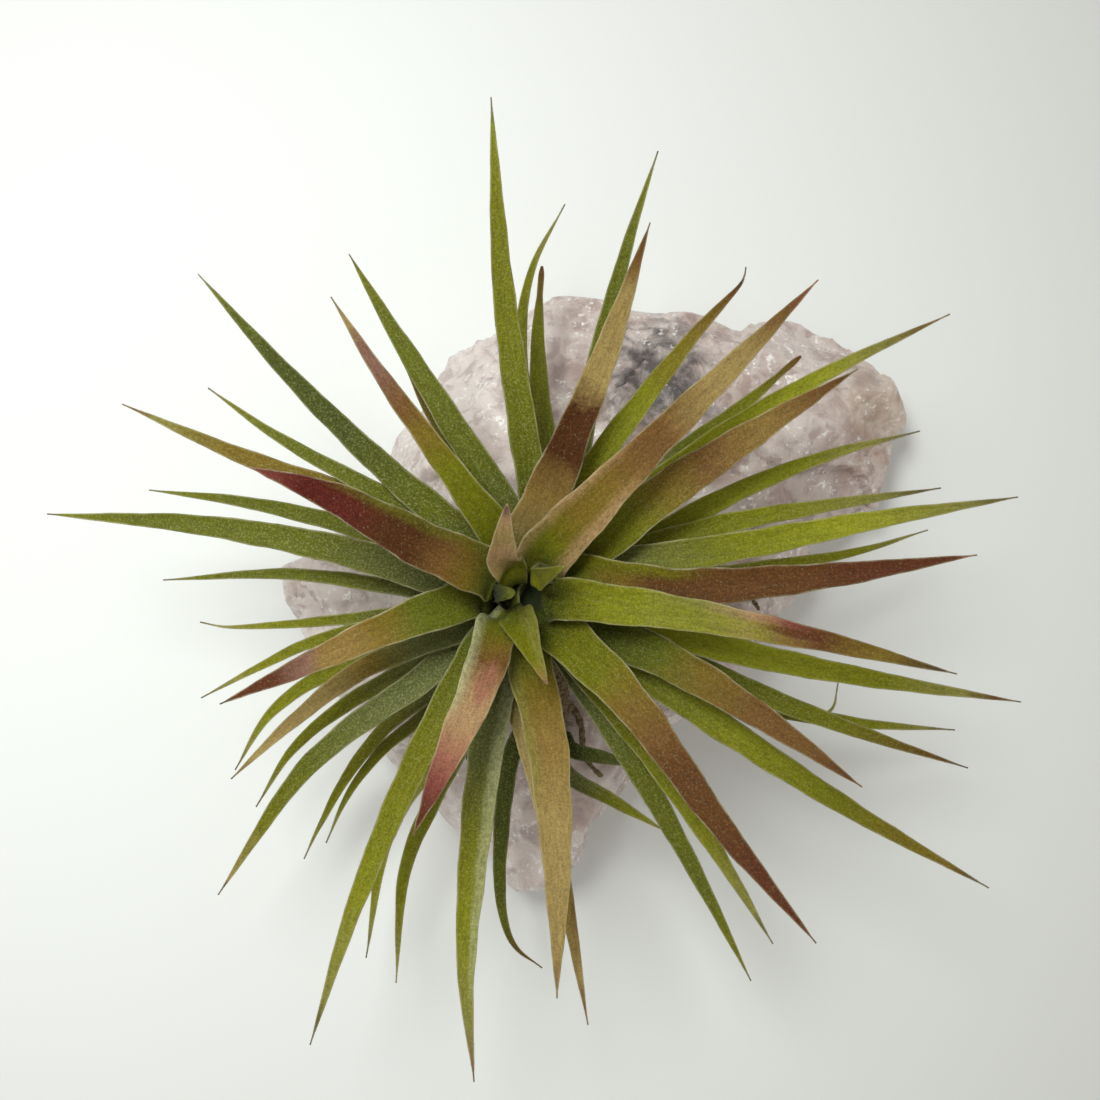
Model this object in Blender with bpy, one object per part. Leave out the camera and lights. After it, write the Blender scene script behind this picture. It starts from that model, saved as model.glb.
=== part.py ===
"""Air plant resting on a lump of rose quartz.

Each leaf is a piece of its own. It grows from a short stem, and it lies over the older leaves
below it with a small gap, so the list of leaves runs from the oldest to the youngest.
Lengths are in millimetres until a mesh is made, and meshes are in metres with +Z up.
"""
import math
import random
from collections import namedtuple

import bmesh
import bpy
from mathutils import Matrix, Vector
from mathutils.bvhtree import BVHTree

MM = 0.001
UP = Vector((0, 0, 1))

# The plans of the leaves and the stone are given in mm as an eye straight above sees them
# at SEEN_LEVEL, with the heart of the plant at zero, +X to the right and +Y away.
EYE_DISTANCE = 260.0
SEEN_LEVEL = 35.0
EYE_X = 3.5
EYE_Y = 4.0
ABOVE_ALL = 200.0

# Stone
STONE_WAIST = 9.0
STONE_LEVELS = [
    (0.0, 0.80),
    (2.0, 0.92),
    (6.0, 0.99),
    (11.0, 1.00),
    (15.5, 0.96),
    (19.0, 0.84),
    (21.3, 0.60),
    (21.9, 0.30),
]
STONE_MIDDLE = (8.0, -1.0)
STONE_OUTLINE = [
    (-23.3, -1.0),
    (-23.0, 2.0),
    (-20.5, 3.6),
    (-16.5, 7.0),
    (-12.5, 11.0),
    (-11.5, 15.0),
    (-8.0, 20.0),
    (-7.3, 24.5),
    (-2.5, 27.0),
    (4.5, 29.2),
    (8.5, 29.0),
    (11.5, 27.4),
    (18.5, 27.8),
    (22.0, 27.0),
    (28.5, 27.8),
    (34.5, 24.0),
    (37.5, 20.5),
    (38.8, 16.5),
    (37.5, 12.5),
    (36.0, 8.5),
    (30.5, 4.0),
    (26.8, -2.0),
    (22.0, -7.6),
    (16.5, -13.0),
    (11.7, -18.0),
    (8.8, -22.5),
    (6.3, -26.9),
    (3.2, -29.7),
    (0.0, -30.3),
    (-2.6, -26.8),
    (-5.1, -24.8),
    (-7.7, -21.0),
    (-11.3, -17.4),
    (-17.7, -10.8),
    (-21.4, -4.6),
]
# Each chip is a flat broken face: bearing and steepness in degrees, then how far out it lies
# at CHIP_LEVEL
CHIP_LEVEL = 14.0
STONE_CHIPS = [
    (70, 62, 31.5),
    (82, 24, 29.5),
    (30, 68, 39.0),
    (12, 22, 34.0),
    (322, 68, 17.6),
    (338, 35, 19.8),
    (268, 60, 31.5),
    (250, 30, 28.5),
    (224, 66, 26.6),
    (178, 62, 32.5),
    (190, 30, 28.5),
    (132, 66, 25.4),
    (110, 34, 26.5),
]
# Each hollow is a shallow place broken out of the upper side: its middle in the plan, then its
# reach and its depth
STONE_HOLLOWS = [
    ((15.0, 23.0), 8.5, 1.7),
    ((30.0, 20.0), 7.5, 1.3),
    ((-3.5, 20.5), 7.5, 1.3),
    ((29.0, 8.5), 7.0, 1.4),
    ((-14.5, 3.5), 6.5, 1.2),
    ((-10.0, -12.0), 6.5, 1.2),
    ((2.0, -26.0), 5.5, 1.1),
    ((17.5, -7.5), 6.5, 1.3),
    ((8.5, 12.5), 6.5, 1.3),
]
STONE_ROUGHNESS = 0.7
STONE_SEED = 12

# Each length of the stem as its middle and radius: the upright part from the foot to the
# growing tip, and the old part that lies along the stone
UPRIGHT_STEM = [
    ((1.3, -1.2, 22.7), 3.4),
    ((1.3, -1.1, 24.6), 5.6),
    ((1.2, -1.0, 28.5), 5.0),
    ((0.9, -0.6, 33.5), 3.9),
    ((0.7, -0.2, 38.5), 2.2),
]
LYING_STEM = [
    ((3.5, -17.0, 23.9), 1.3),
    ((3.6, -13.0, 24.2), 1.9),
    ((3.2, -8.0, 25.0), 2.3),
    ((2.4, -3.0, 26.0), 2.4),
]
STEM_STEPS = 12
STEM_SIDES = 12

# Wiry roots: each leaves the stem at ROOT_START and comes down to the stone over its first
# ROOT_LEAVING steps
ROOT_RADIUS = 0.4
ROOT_SLIMMING = (1.3, 0.85)
ROOT_OVER_STONE = 0.9
ROOT_SIDES = 6
ROOT_STEPS = 16
ROOT_START = 25.0
ROOT_LEAVING = 6
ROOT_RUNS = [
    [(3.5, -4.0), (11.0, -4.0), (18.0, -1.5), (24.0, -0.6), (25.8, -2.4)],
    [(3.4, -10.0), (6.5, -13.5), (7.0, -17.5), (9.0, -20.0)],
    [(2.4, -7.0), (-3.0, -10.0), (-6.0, -15.5), (-4.6, -19.0)],
]

# Blades: a section has a raised margin on both sides, a keel in the middle of its underside
# and a shoulder halfway between the two
STATIONS = 60
RING_STEPS = [0, 3, 7, 11, 16, 21, 26, 31, 36, 41, 46, 51, 55, 58]
SLIMMEST = 0.62
THICK_AT_ROOT = 1.05
THICK_AT_TIP = 0.62
CHANNEL_AT_ROOT = 0.18
CHANNEL_AT_TIP = 0.05
SHOULDER = 0.5
SHOULDER_OF_CHANNEL = 0.35
SHOULDER_OF_THICKNESS = 0.75
BASE_LENGTH = 0.45
TAPER = 2.3
ARCH = 0.16
ARCH_RISE = 0.20

# Laying: each blade keeps a gap to the pieces below it, measured at samples across it, and a
# lift fades out along the blade to both sides
GAP = 0.34
SAMPLES = 7
STEEPEST = 0.35
CLOSE_ENOUGH = 0.02
FADE_TO_ROOT = 10.0
FADE_TO_TIP = 26.0
DRAPE_PASSES = 8
ROOT_TRIES = 12

# Where the first and the last leaf of a list sit along their length of the stem
OLD_SEATS = (0.05, 0.5)
ROSETTE_SEATS = (0.3, 1.0)

COLOURS = {
    "green": ((0.135, 0.175, 0.045), 0.75),
    "bright green": ((0.215, 0.265, 0.035), 0.70),
    "tan": ((0.430, 0.300, 0.120), 0.70),
    "brown": ((0.210, 0.095, 0.035), 0.70),
    "rose": ((0.360, 0.130, 0.095), 0.70),
    "bark": ((0.110, 0.080, 0.045), 0.90),
    "quartz": ((0.560, 0.490, 0.500), 0.35),
}

# A leaf with a flare is that many times wider at its root than along its blade
Leaf = namedtuple("Leaf", "name colour width tip_height plan flare", defaults=(1.0,))

OLD_LEAVES = [
    Leaf("old_leaf_southeast_lower", "green", 1.6, 19, [(5.5, -18.7), (9.5, -20.9), (15.0, -24.1)]),
    Leaf("old_leaf_southeast_upper", "green", 1.6, 21, [(5.8, -16.0), (9.5, -16.9), (13.0, -17.6)]),
    Leaf(
        "old_leaf_south_hooked",
        "green",
        1.8,
        16,
        [(-0.2, -16.0), (-1.2, -22.0), (-1.5, -30.0), (-0.3, -35.2), (2.7, -37.8)],
    ),
]

ROSETTE_LEAVES = [
    Leaf(
        "low_leaf_southwest_first",
        "green",
        1.5,
        16,
        [(-8.0, -11.6), (-13.0, -15.7), (-16.6, -20.3), (-18.9, -25.3)],
    ),
    Leaf(
        "low_leaf_southwest_second",
        "green",
        1.7,
        16,
        [(-6.3, -8.8), (-12.2, -13.0), (-16.6, -18.3), (-19.6, -23.7), (-21.1, -26.9)],
    ),
    Leaf("low_leaf_south_southwest", "green", 2.0, 15, [(-6.0, -14.0), (-12.5, -24.0), (-14.9, -36.8)]),
    Leaf(
        "low_leaf_east_southeast",
        "green",
        2.2,
        20,
        [(13.0, -7.0), (24.0, -11.3), (33.5, -13.2), (44.0, -14.0)],
    ),
    Leaf(
        "low_leaf_east_curled",
        "green",
        1.4,
        20,
        [(11.0, -5.0), (21.0, -9.8), (28.6, -12.6), (31.6, -12.0), (32.3, -9.3)],
    ),
    Leaf("low_leaf_east", "green", 1.7, 22, [(12.0, 0.5), (25.0, 2.3), (34.0, 3.8), (41.3, 6.0)]),
    Leaf("low_leaf_west", "green", 1.3, 22, [(-9.0, -2.0), (-20.0, -3.2), (-28.3, -3.7), (-31.5, -3.2)]),
    Leaf(
        "low_leaf_west_southwest_first",
        "green",
        1.6,
        22,
        [(-9.0, -2.4), (-19.6, -5.0), (-25.0, -7.4), (-31.4, -10.8)],
    ),
    Leaf(
        "low_leaf_west_southwest_second",
        "green",
        2.1,
        20,
        [(-9.0, -5.0), (-18.7, -8.3), (-24.5, -12.4), (-28.0, -18.0)],
    ),
    Leaf(
        "low_leaf_west_southwest_third",
        "green",
        1.9,
        22,
        [(-9.5, -7.3), (-16.7, -11.3), (-22.2, -15.9), (-25.9, -21.7)],
    ),
    Leaf("low_leaf_north", "green", 1.6, 25, [(1.6, 12.0), (0.6, 24.0), (1.6, 31.8), (5.0, 38.6)]),
    Leaf("low_leaf_north_blunt", "green", 2.6, 27, [(3.5, 10.0), (2.5, 19.0), (2.3, 26.0), (2.7, 32.4)]),
    Leaf(
        "low_leaf_northeast_blunt",
        "green",
        2.7,
        27,
        [(11.0, 9.3), (18.0, 14.7), (23.0, 18.6), (28.6, 23.4)],
        1.35,
    ),
    Leaf(
        "low_leaf_northwest_blunt",
        "green",
        1.9,
        28,
        [(-3.0, 8.0), (-6.2, 14.0), (-9.4, 19.5), (-11.6, 24.4)],
    ),
    Leaf(
        "low_leaf_south",
        "green",
        2.1,
        26,
        [(-3.5, -11.5), (-8.2, -21.0), (-11.1, -28.5), (-11.9, -39.3)],
    ),
    Leaf(
        "outer_leaf_east_southeast_low",
        "green",
        2.5,
        34,
        [(10.0, -4.0), (23.5, -10.0), (34.5, -14.2), (45.3, -17.8)],
    ),
    Leaf(
        "outer_leaf_east_northeast",
        "green",
        2.3,
        35,
        [(9.0, 2.2), (19.5, 8.5), (30.5, 13.2), (40.5, 15.9)],
    ),
    Leaf("outer_leaf_west_thin", "green", 1.6, 28, [(-10.0, 0.0), (-22.5, 1.6), (-35.2, 1.0)]),
    Leaf(
        "outer_leaf_west_northwest_thin",
        "green",
        2.1,
        32,
        [(-8.0, 3.2), (-16.0, 6.2), (-26.5, 8.7), (-36.6, 10.0)],
    ),
    Leaf(
        "outer_leaf_southwest_long",
        "green",
        2.7,
        30,
        [(-6.5, -6.6), (-10.8, -10.0), (-16.2, -13.7), (-22.2, -19.3), (-29.7, -30.5)],
    ),
    Leaf(
        "outer_leaf_southwest_tan",
        "tan",
        2.4,
        31,
        [(-5.3, -3.9), (-15.1, -7.8), (-22.4, -13.3), (-28.4, -18.9)],
    ),
    Leaf(
        "outer_leaf_northwest_olive",
        "green",
        2.7,
        40,
        [(-4.6, 4.9), (-15.1, 8.9), (-26.8, 13.2), (-39.3, 18.6)],
    ),
    Leaf(
        "outer_leaf_northwest_thin",
        "green",
        2.0,
        38,
        [(-5.0, 5.6), (-13.5, 9.7), (-23.5, 15.2), (-30.7, 20.2)],
    ),
    Leaf("outer_leaf_east_thin", "green", 2.3, 36, [(9.0, 3.0), (20.5, 6.5), (31.5, 8.5), (42.6, 10.2)]),
    Leaf(
        "outer_leaf_south_southeast_olive",
        "green",
        2.6,
        34,
        [(6.0, -8.0), (13.5, -20.0), (19.0, -30.0), (23.6, -39.1)],
    ),
    Leaf(
        "outer_leaf_north_northeast",
        "green",
        2.4,
        44,
        [(5.3, 9.0), (8.0, 22.0), (11.2, 34.3), (14.3, 43.9)],
    ),
    Leaf(
        "outer_leaf_east_southeast_long",
        "bright green",
        2.9,
        40,
        [(8.0, -2.2), (22.5, -6.2), (36.5, -9.0), (50.6, -11.2)],
    ),
    Leaf(
        "outer_leaf_west_long",
        "green",
        3.1,
        34,
        [(-6.0, 0.6), (-17.5, 4.0), (-31.5, 6.5), (-46.8, 7.6)],
        1.12,
    ),
    Leaf(
        "outer_leaf_north_northwest",
        "green",
        3.0,
        38,
        [(-0.8, 8.0), (-5.9, 16.0), (-11.9, 25.6), (-16.6, 33.6)],
    ),
    Leaf(
        "outer_leaf_northwest_long",
        "green",
        2.7,
        42,
        [(-4.0, 4.6), (-12.7, 11.9), (-22.4, 21.3), (-31.7, 31.6)],
        1.25,
    ),
    Leaf(
        "outer_leaf_northeast_long",
        "bright green",
        2.6,
        42,
        [(8.8, 6.4), (19.8, 14.8), (31.4, 21.8), (43.5, 27.6)],
    ),
    Leaf(
        "outer_leaf_south_southeast_bright",
        "bright green",
        2.8,
        42,
        [(6.5, -7.5), (13.9, -16.8), (20.7, -27.0), (25.8, -35.4)],
    ),
    Leaf("outer_leaf_south_tan", "tan", 2.6, 44, [(-0.2, -9.0), (2.2, -18.0), (4.9, -30.0), (7.3, -43.5)]),
    Leaf("outer_leaf_east_long", "green", 3.2, 40, [(8.5, 2.2), (22.5, 4.4), (36.5, 7.1), (50.3, 9.3)]),
    Leaf(
        "outer_leaf_south_long",
        "bright green",
        3.6,
        44,
        [(-1.7, -9.5), (-3.5, -20.5), (-4.9, -37.0), (-4.1, -49.2)],
    ),
    Leaf(
        "outer_leaf_north_long",
        "bright green",
        3.0,
        46,
        [(2.2, 7.0), (0.5, 18.0), (-1.3, 31.5), (-2.4, 49.3)],
    ),
    Leaf(
        "outer_leaf_northeast_bright",
        "bright green",
        2.7,
        46,
        [(5.2, 8.6), (11.3, 17.1), (18.0, 25.6), (22.4, 30.4), (23.1, 32.3)],
    ),
    Leaf(
        "outer_leaf_southeast_long",
        "bright green",
        3.1,
        40,
        [(9.0, -5.5), (20.3, -13.4), (33.5, -21.9), (47.4, -29.8)],
    ),
    Leaf(
        "outer_leaf_south_southwest_long",
        "bright green",
        2.9,
        42,
        [(-4.0, -6.0), (-10.3, -18.0), (-16.0, -31.5), (-20.5, -45.5)],
    ),
    Leaf(
        "inner_leaf_west_southwest",
        "tan",
        3.6,
        48,
        [(-4.5, -0.8), (-13.0, -3.9), (-21.0, -7.5), (-29.5, -11.4)],
        1.2,
    ),
    Leaf(
        "inner_leaf_southeast_tan",
        "tan",
        4.1,
        50,
        [(8.0, -3.6), (16.8, -7.9), (25.7, -13.4), (34.7, -19.7)],
    ),
    Leaf(
        "inner_leaf_northeast_brown",
        "brown",
        4.5,
        48,
        [(7.0, 3.6), (14.3, 9.3), (24.5, 16.1), (34.3, 22.1)],
    ),
    Leaf(
        "inner_leaf_northwest_brown",
        "brown",
        2.7,
        50,
        [(-1.6, 5.4), (-7.2, 13.0), (-13.4, 21.5), (-18.4, 29.3)],
        1.45,
    ),
    Leaf(
        "inner_leaf_north_brown",
        "brown",
        3.8,
        58,
        [(1.5, 5.0), (4.7, 13.0), (9.2, 24.0), (13.5, 36.7)],
        1.4,
    ),
    Leaf("inner_leaf_south_tan", "tan", 4.4, 56, [(1.4, -7.0), (3.3, -16.0), (4.2, -28.0), (4.2, -40.8)]),
    Leaf("inner_leaf_east_brown", "brown", 4.0, 54, [(6.5, 1.5), (16.5, 0.3), (31.0, 1.4), (46.2, 3.5)]),
    Leaf(
        "inner_leaf_southeast_red",
        "brown",
        3.8,
        57,
        [(5.0, -4.6), (11.9, -11.6), (20.9, -24.0), (30.1, -35.3)],
        1.25,
    ),
    Leaf(
        "inner_leaf_northeast_orange",
        "tan",
        3.9,
        58,
        [(3.6, 4.2), (12.0, 12.8), (21.5, 22.2), (30.3, 31.0)],
        1.4,
    ),
    Leaf(
        "inner_leaf_east_green",
        "bright green",
        3.5,
        52,
        [(4.6, -0.8), (16.5, -2.3), (30.0, -4.9), (44.2, -8.4)],
        1.2,
    ),
    Leaf(
        "inner_leaf_southwest_rose",
        "rose",
        4.2,
        60,
        [(-1.6, -3.2), (-3.6, -9.5), (-7.1, -17.4), (-10.2, -24.5)],
    ),
    Leaf(
        "inner_leaf_west_red",
        "rose",
        5.0,
        58,
        [(-2.8, 1.8), (-9.5, 4.7), (-18.0, 9.2), (-26.5, 12.3)],
    ),
    Leaf("heart_leaf_east", "bright green", 2.5, 50, [(2.2, 1.1), (4.8, 2.3)]),
    Leaf("heart_leaf_south", "bright green", 3.6, 52, [(0.3, -2.8), (3.2, -9.4)]),
    Leaf("heart_leaf_north", "tan", 3.3, 57, [(-1.2, 3.4), (-0.8, 8.5)]),
    Leaf("heart_bud", "bright green", 1.6, 50, [(-0.6, -0.3), (-0.9, -0.6)]),
]


def true_place(seen_x, seen_y, height):
    """The point at a height that the eye sees over a place of the plan."""
    nearer = 1.0 - (height - SEEN_LEVEL) / EYE_DISTANCE
    return Vector((EYE_X + (seen_x - EYE_X) * nearer, EYE_Y + (seen_y - EYE_Y) * nearer, height))


def seen_place(point):
    """The place of the plan at which the eye sees a point."""
    nearer = 1.0 - (point.z - SEEN_LEVEL) / EYE_DISTANCE
    return Vector((EYE_X + (point.x - EYE_X) / nearer, EYE_Y + (point.y - EYE_Y) / nearer, 0.0))


def blend(start, end, part):
    """The value a part of the way from start to end."""
    return start + (end - start) * part


def curve_point(before, start, end, after, part):
    """Catmull-Rom curve from start to end."""
    return 0.5 * (
        2.0 * start
        + (end - before) * part
        + (2.0 * before - 5.0 * start + 4.0 * end - after) * part**2
        + (3.0 * start - before - 3.0 * end + after) * part**3
    )


def smooth_through(points, steps=24):
    """A smooth curve through the points, as many short steps."""
    first = 2.0 * points[0] - points[1]
    last = 2.0 * points[-1] - points[-2]
    ends = [first, *points, last]
    path = []
    for before, start, end, after in zip(ends, ends[1:], ends[2:], ends[3:]):
        path += [curve_point(before, start, end, after, step / steps) for step in range(steps)]
    return path + [points[-1]]


def evenly(path, count):
    """The path again as count equal stretches, with its parts of the whole length."""
    lengths = [0.0]
    for start, end in zip(path, path[1:]):
        lengths.append(lengths[-1] + (end - start).length)
    even = []
    leg = 0
    for step in range(count + 1):
        reach = lengths[-1] * step / count
        while leg < len(path) - 2 and lengths[leg + 1] < reach:
            leg += 1
        part = (reach - lengths[leg]) / max(lengths[leg + 1] - lengths[leg], 1e-9)
        even.append(blend(path[leg], path[leg + 1], min(part, 1.0)))
    return even


def finish(name, colour):
    """A plain material of one colour for one piece."""
    tint, roughness = COLOURS[colour]
    material = bpy.data.materials.new(name)
    material.use_nodes = True
    shader = material.node_tree.nodes["Principled BSDF"]
    shader.inputs["Base Color"].default_value = (*tint, 1.0)
    shader.inputs["Roughness"].default_value = roughness
    shader.inputs["Metallic"].default_value = 0.0
    return material


def add_piece(name, colour, points, faces, smooth):
    """One closed object from points in mm, with its faces turned outward."""
    mesh = bpy.data.meshes.new(name)
    mesh.from_pydata([point * MM for point in points], [], faces)
    skin = bmesh.new()
    skin.from_mesh(mesh)
    bmesh.ops.recalc_face_normals(skin, faces=skin.faces)
    skin.to_mesh(mesh)
    skin.free()
    mesh.materials.append(finish(name, colour))
    for polygon in mesh.polygons:
        polygon.use_smooth = smooth
    mesh.update()
    piece = bpy.data.objects.new(name, mesh)
    bpy.context.scene.collection.objects.link(piece)
    return piece


def loft(rings, tip=None):
    """Closed skin over rings of points, capped at the start and at the end or at a tip."""
    sides = len(rings[0])
    points = [point for ring in rings for point in ring]
    faces = []
    for low in range(0, (len(rings) - 1) * sides, sides):
        for side in range(sides):
            after = (side + 1) % sides
            near, far = low + side, low + after
            faces += [(near, far, far + sides), (near, far + sides, near + sides)]
    last = (len(rings) - 1) * sides
    faces.append(tuple(reversed(range(sides))))
    if tip is None:
        faces.append(tuple(last + side for side in range(sides)))
    else:
        points.append(tip)
        faces += [(last + side, last + (side + 1) % sides, len(points) - 1) for side in range(sides)]
    return points, faces


def cross_frames(path):
    """Along, left and upward directions at each point of a path."""
    frames = []
    for step in range(len(path)):
        along = (path[min(step + 1, len(path) - 1)] - path[max(step - 1, 0)]).normalized()
        left = UP.cross(along).normalized()
        frames.append((along, left, along.cross(left)))
    return frames


class Layers:
    """The pieces laid so far, kept as one surface."""

    def __init__(self):
        self.points = []
        self.faces = []

    def add(self, points, faces):
        """Add the points and faces of one piece."""
        start = len(self.points)
        self.points += points
        self.faces += [tuple(start + corner for corner in face) for face in faces]

    def surface(self):
        """The surface as a search tree."""
        return BVHTree.FromPolygons(self.points, self.faces)


def height_under(surface, point):
    """Height of the surface below or above a place, or None where there is none."""
    hit = surface.ray_cast(Vector((point.x, point.y, ABOVE_ALL)), -UP)[0]
    return None if hit is None else hit.z


def stone_skin():
    """Rough stone: its outline at several levels, broken off along flat chips."""
    rng = random.Random(STONE_SEED)
    middle = Vector((*STONE_MIDDLE, 0.0))
    rings = []
    for height, spread in STONE_LEVELS:
        ring = []
        for seen_x, seen_y in STONE_OUTLINE:
            place = true_place(seen_x, seen_y, STONE_WAIST)
            place.z = 0.0
            place = blend(middle, place, spread)
            if height > 0.0:
                shift = [rng.uniform(-STONE_ROUGHNESS, STONE_ROUGHNESS) for _ in range(3)]
                place += Vector(shift)
            place.z += height - hollow_depth(place) * height / STONE_LEVELS[-1][0]
            ring.append(place)
        rings.append(ring)
    points, faces = loft(rings)
    skin = bmesh.new()
    corners = [skin.verts.new(point) for point in points]
    for face in faces:
        skin.faces.new([corners[corner] for corner in face])
    for bearing, steepness, reach in STONE_CHIPS:
        break_off(skin, middle, bearing, steepness, reach)
    bmesh.ops.triangulate(skin, faces=skin.faces)
    skin.verts.index_update()
    points = [corner.co.copy() for corner in skin.verts]
    faces = [tuple(corner.index for corner in face.verts) for face in skin.faces]
    skin.free()
    return points, faces


def hollow_depth(place):
    """How deep the hollows of the stone are at a place."""
    depth = 0.0
    for middle, reach, deepest in STONE_HOLLOWS:
        away = math.hypot(place.x - middle[0], place.y - middle[1]) / reach
        depth = max(depth, deepest * max(0.0, 1.0 - away * away))
    return depth


def break_off(skin, middle, bearing, steepness, reach):
    """Cut one flat broken face and close it."""
    bearing, steepness = math.radians(bearing), math.radians(steepness)
    outward = Vector((math.cos(bearing), math.sin(bearing), 0.0))
    facing = outward * math.sin(steepness) + UP * math.cos(steepness)
    through = middle + outward * reach + UP * CHIP_LEVEL
    everything = skin.verts[:] + skin.edges[:] + skin.faces[:]
    cut = bmesh.ops.bisect_plane(
        skin, geom=everything, plane_co=through, plane_no=facing, clear_outer=True
    )
    rim = [item for item in cut["geom_cut"] if isinstance(item, bmesh.types.BMEdge)]
    bmesh.ops.contextual_create(skin, geom=rim)


def stem_place(stem, part):
    """Middle and radius of a length of stem at a part of the way along it."""
    path = smooth_through([Vector((*middle, radius)) for middle, radius in stem])
    place = part * (len(path) - 1)
    step = min(int(place), len(path) - 2)
    found = blend(path[step], path[step + 1], place - step)
    return found.to_3d(), found.w


def tube(places, radii, sides):
    """Round closed tube along a path."""
    rings = []
    for index, centre in enumerate(places):
        along = (places[min(index + 1, len(places) - 1)] - places[max(index - 1, 0)]).normalized()
        turn = along.to_track_quat("Z", "X").to_matrix()
        ring = []
        for side in range(sides):
            angle = 2 * math.pi * side / sides
            spoke = Vector((math.cos(angle), math.sin(angle), 0.0)) * radii[index]
            ring.append(centre + turn @ spoke)
        rings.append(ring)
    return loft(rings)


def add_length(name, stem):
    """One round length of stem."""
    places = [stem_place(stem, step / STEM_STEPS) for step in range(STEM_STEPS + 1)]
    points, faces = tube([place[0] for place in places], [place[1] for place in places], STEM_SIDES)
    return add_piece(name, "bark", points, faces, True)


def add_stem(layers):
    """Stem with its old lying part and its wiry roots joined to it."""
    stem = add_length("stem", UPRIGHT_STEM)
    stone = layers.surface()
    limbs = [add_length("lying stem", LYING_STEM)] + [add_root(run, stone) for run in ROOT_RUNS]
    join_all(stem, limbs)
    mesh = stem.data
    layers.add(
        [corner.co / MM for corner in mesh.vertices], [tuple(face.vertices) for face in mesh.polygons]
    )


def add_root(run, stone):
    """A wiry root that leaves the stem and lies just over the stone."""
    path = []
    course = smooth_through([Vector((*seen, 0.0)) for seen in run])
    for step, place in enumerate(evenly(course, ROOT_STEPS)):
        over_stone = height_under(stone, place) + GAP + ROOT_OVER_STONE
        leaving = min(step / ROOT_LEAVING, 1.0)
        path.append(Vector((place.x, place.y, blend(ROOT_START, over_stone, leaving))))
    slim = [ROOT_RADIUS * blend(*ROOT_SLIMMING, step / ROOT_STEPS) for step in range(ROOT_STEPS + 1)]
    points, faces = tube(path, slim, ROOT_SIDES)
    return add_piece("root", "bark", points, faces, True)


def join_all(piece, others):
    """Join the other objects to a piece by one Boolean, then remove them."""
    limbs = bpy.data.collections.new("limbs to join")
    bpy.context.scene.collection.children.link(limbs)
    for other in others:
        bpy.context.scene.collection.objects.unlink(other)
        limbs.objects.link(other)
    union = piece.modifiers.new("join limbs", "BOOLEAN")
    union.operation = "UNION"
    union.operand_type = "COLLECTION"
    union.collection = limbs
    union.solver = "MANIFOLD"
    bpy.context.view_layer.objects.active = piece
    piece.select_set(True)
    bpy.ops.object.modifier_apply(modifier=union.name)
    for other in others:
        bpy.data.objects.remove(other)
    bpy.data.collections.remove(limbs)


def width_part(part, flare):
    """Width at a part of a blade's length, as a part of its widest."""
    rise = min(part / BASE_LENGTH, 1.0)
    rise = rise * rise * (3.0 - 2.0 * rise)
    return blend(flare, 1.0, rise) * (1.0 - part**TAPER)


def blade_section(leaf, part, height):
    """Half width, raised margin and thickness of a blade at a part of its length."""
    nearer = 1.0 - (height - SEEN_LEVEL) / EYE_DISTANCE
    width = max(leaf.width * nearer * width_part(part, leaf.flare), SLIMMEST)
    channel = blend(CHANNEL_AT_ROOT, CHANNEL_AT_TIP, math.sqrt(part)) * width
    thickness = blend(THICK_AT_ROOT, THICK_AT_TIP, math.sqrt(part))
    return width / 2, channel, thickness


def shoulder_height(channel, thickness):
    """Height of the shoulder of a section above the centre line."""
    return SHOULDER_OF_CHANNEL * channel - SHOULDER_OF_THICKNESS * thickness


def underside(channel, thickness, across):
    """Height of a blade's underside above its centre line, across from -1 to 1."""
    out = abs(across)
    shoulder = shoulder_height(channel, thickness)
    if out > SHOULDER:
        return blend(shoulder, channel, min((out - SHOULDER) / (1.0 - SHOULDER), 1.0))
    return blend(-thickness, shoulder, out / SHOULDER)


def centre_line(leaf, root, lifts):
    """Points along the middle of a blade from its root to its tip."""
    seen = [seen_place(root), *(Vector((*place, 0.0)) for place in leaf.plan)]
    plan = evenly(smooth_through(seen), STATIONS)
    length = sum((end - start).length for start, end in zip(plan, plan[1:]))
    line = []
    for step, place in enumerate(plan):
        part = step / STATIONS
        arch = ARCH * length * (1.0 - part) * (1.0 - math.exp(-part / ARCH_RISE))
        height = blend(root.z, leaf.tip_height, part) + arch + lifts[step]
        line.append(true_place(place.x, place.y, height))
    return line


def shortfalls(leaf, line, below):
    """How much higher each station has to lie to clear what is below it."""
    frames = cross_frames(line)
    needs = []
    for step in range(STATIONS + 1):
        along, left, upward = frames[step]
        half, channel, thickness = blade_section(leaf, step / STATIONS, line[step].z)
        reach = 1.0 + GAP / half
        clear = GAP / max(upward.z, STEEPEST)
        middle = line[step] - along * GAP if step == 0 else line[step]
        need = 0.0
        for sample in range(-SAMPLES, SAMPLES + 1):
            across = reach * sample / SAMPLES
            rise = underside(channel, thickness, across)
            place = middle + left * (across * half) + upward * rise
            top = height_under(below, place)
            if top is not None:
                need = max(need, top + clear - place.z)
        needs.append(need)
    return needs


def fade(distance):
    """How much of a lift is left at a distance along the blade, positive toward the tip."""
    part = distance / (FADE_TO_TIP if distance > 0 else FADE_TO_ROOT)
    return (1.0 - part * part) ** 2 if abs(part) < 1.0 else 0.0


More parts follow.
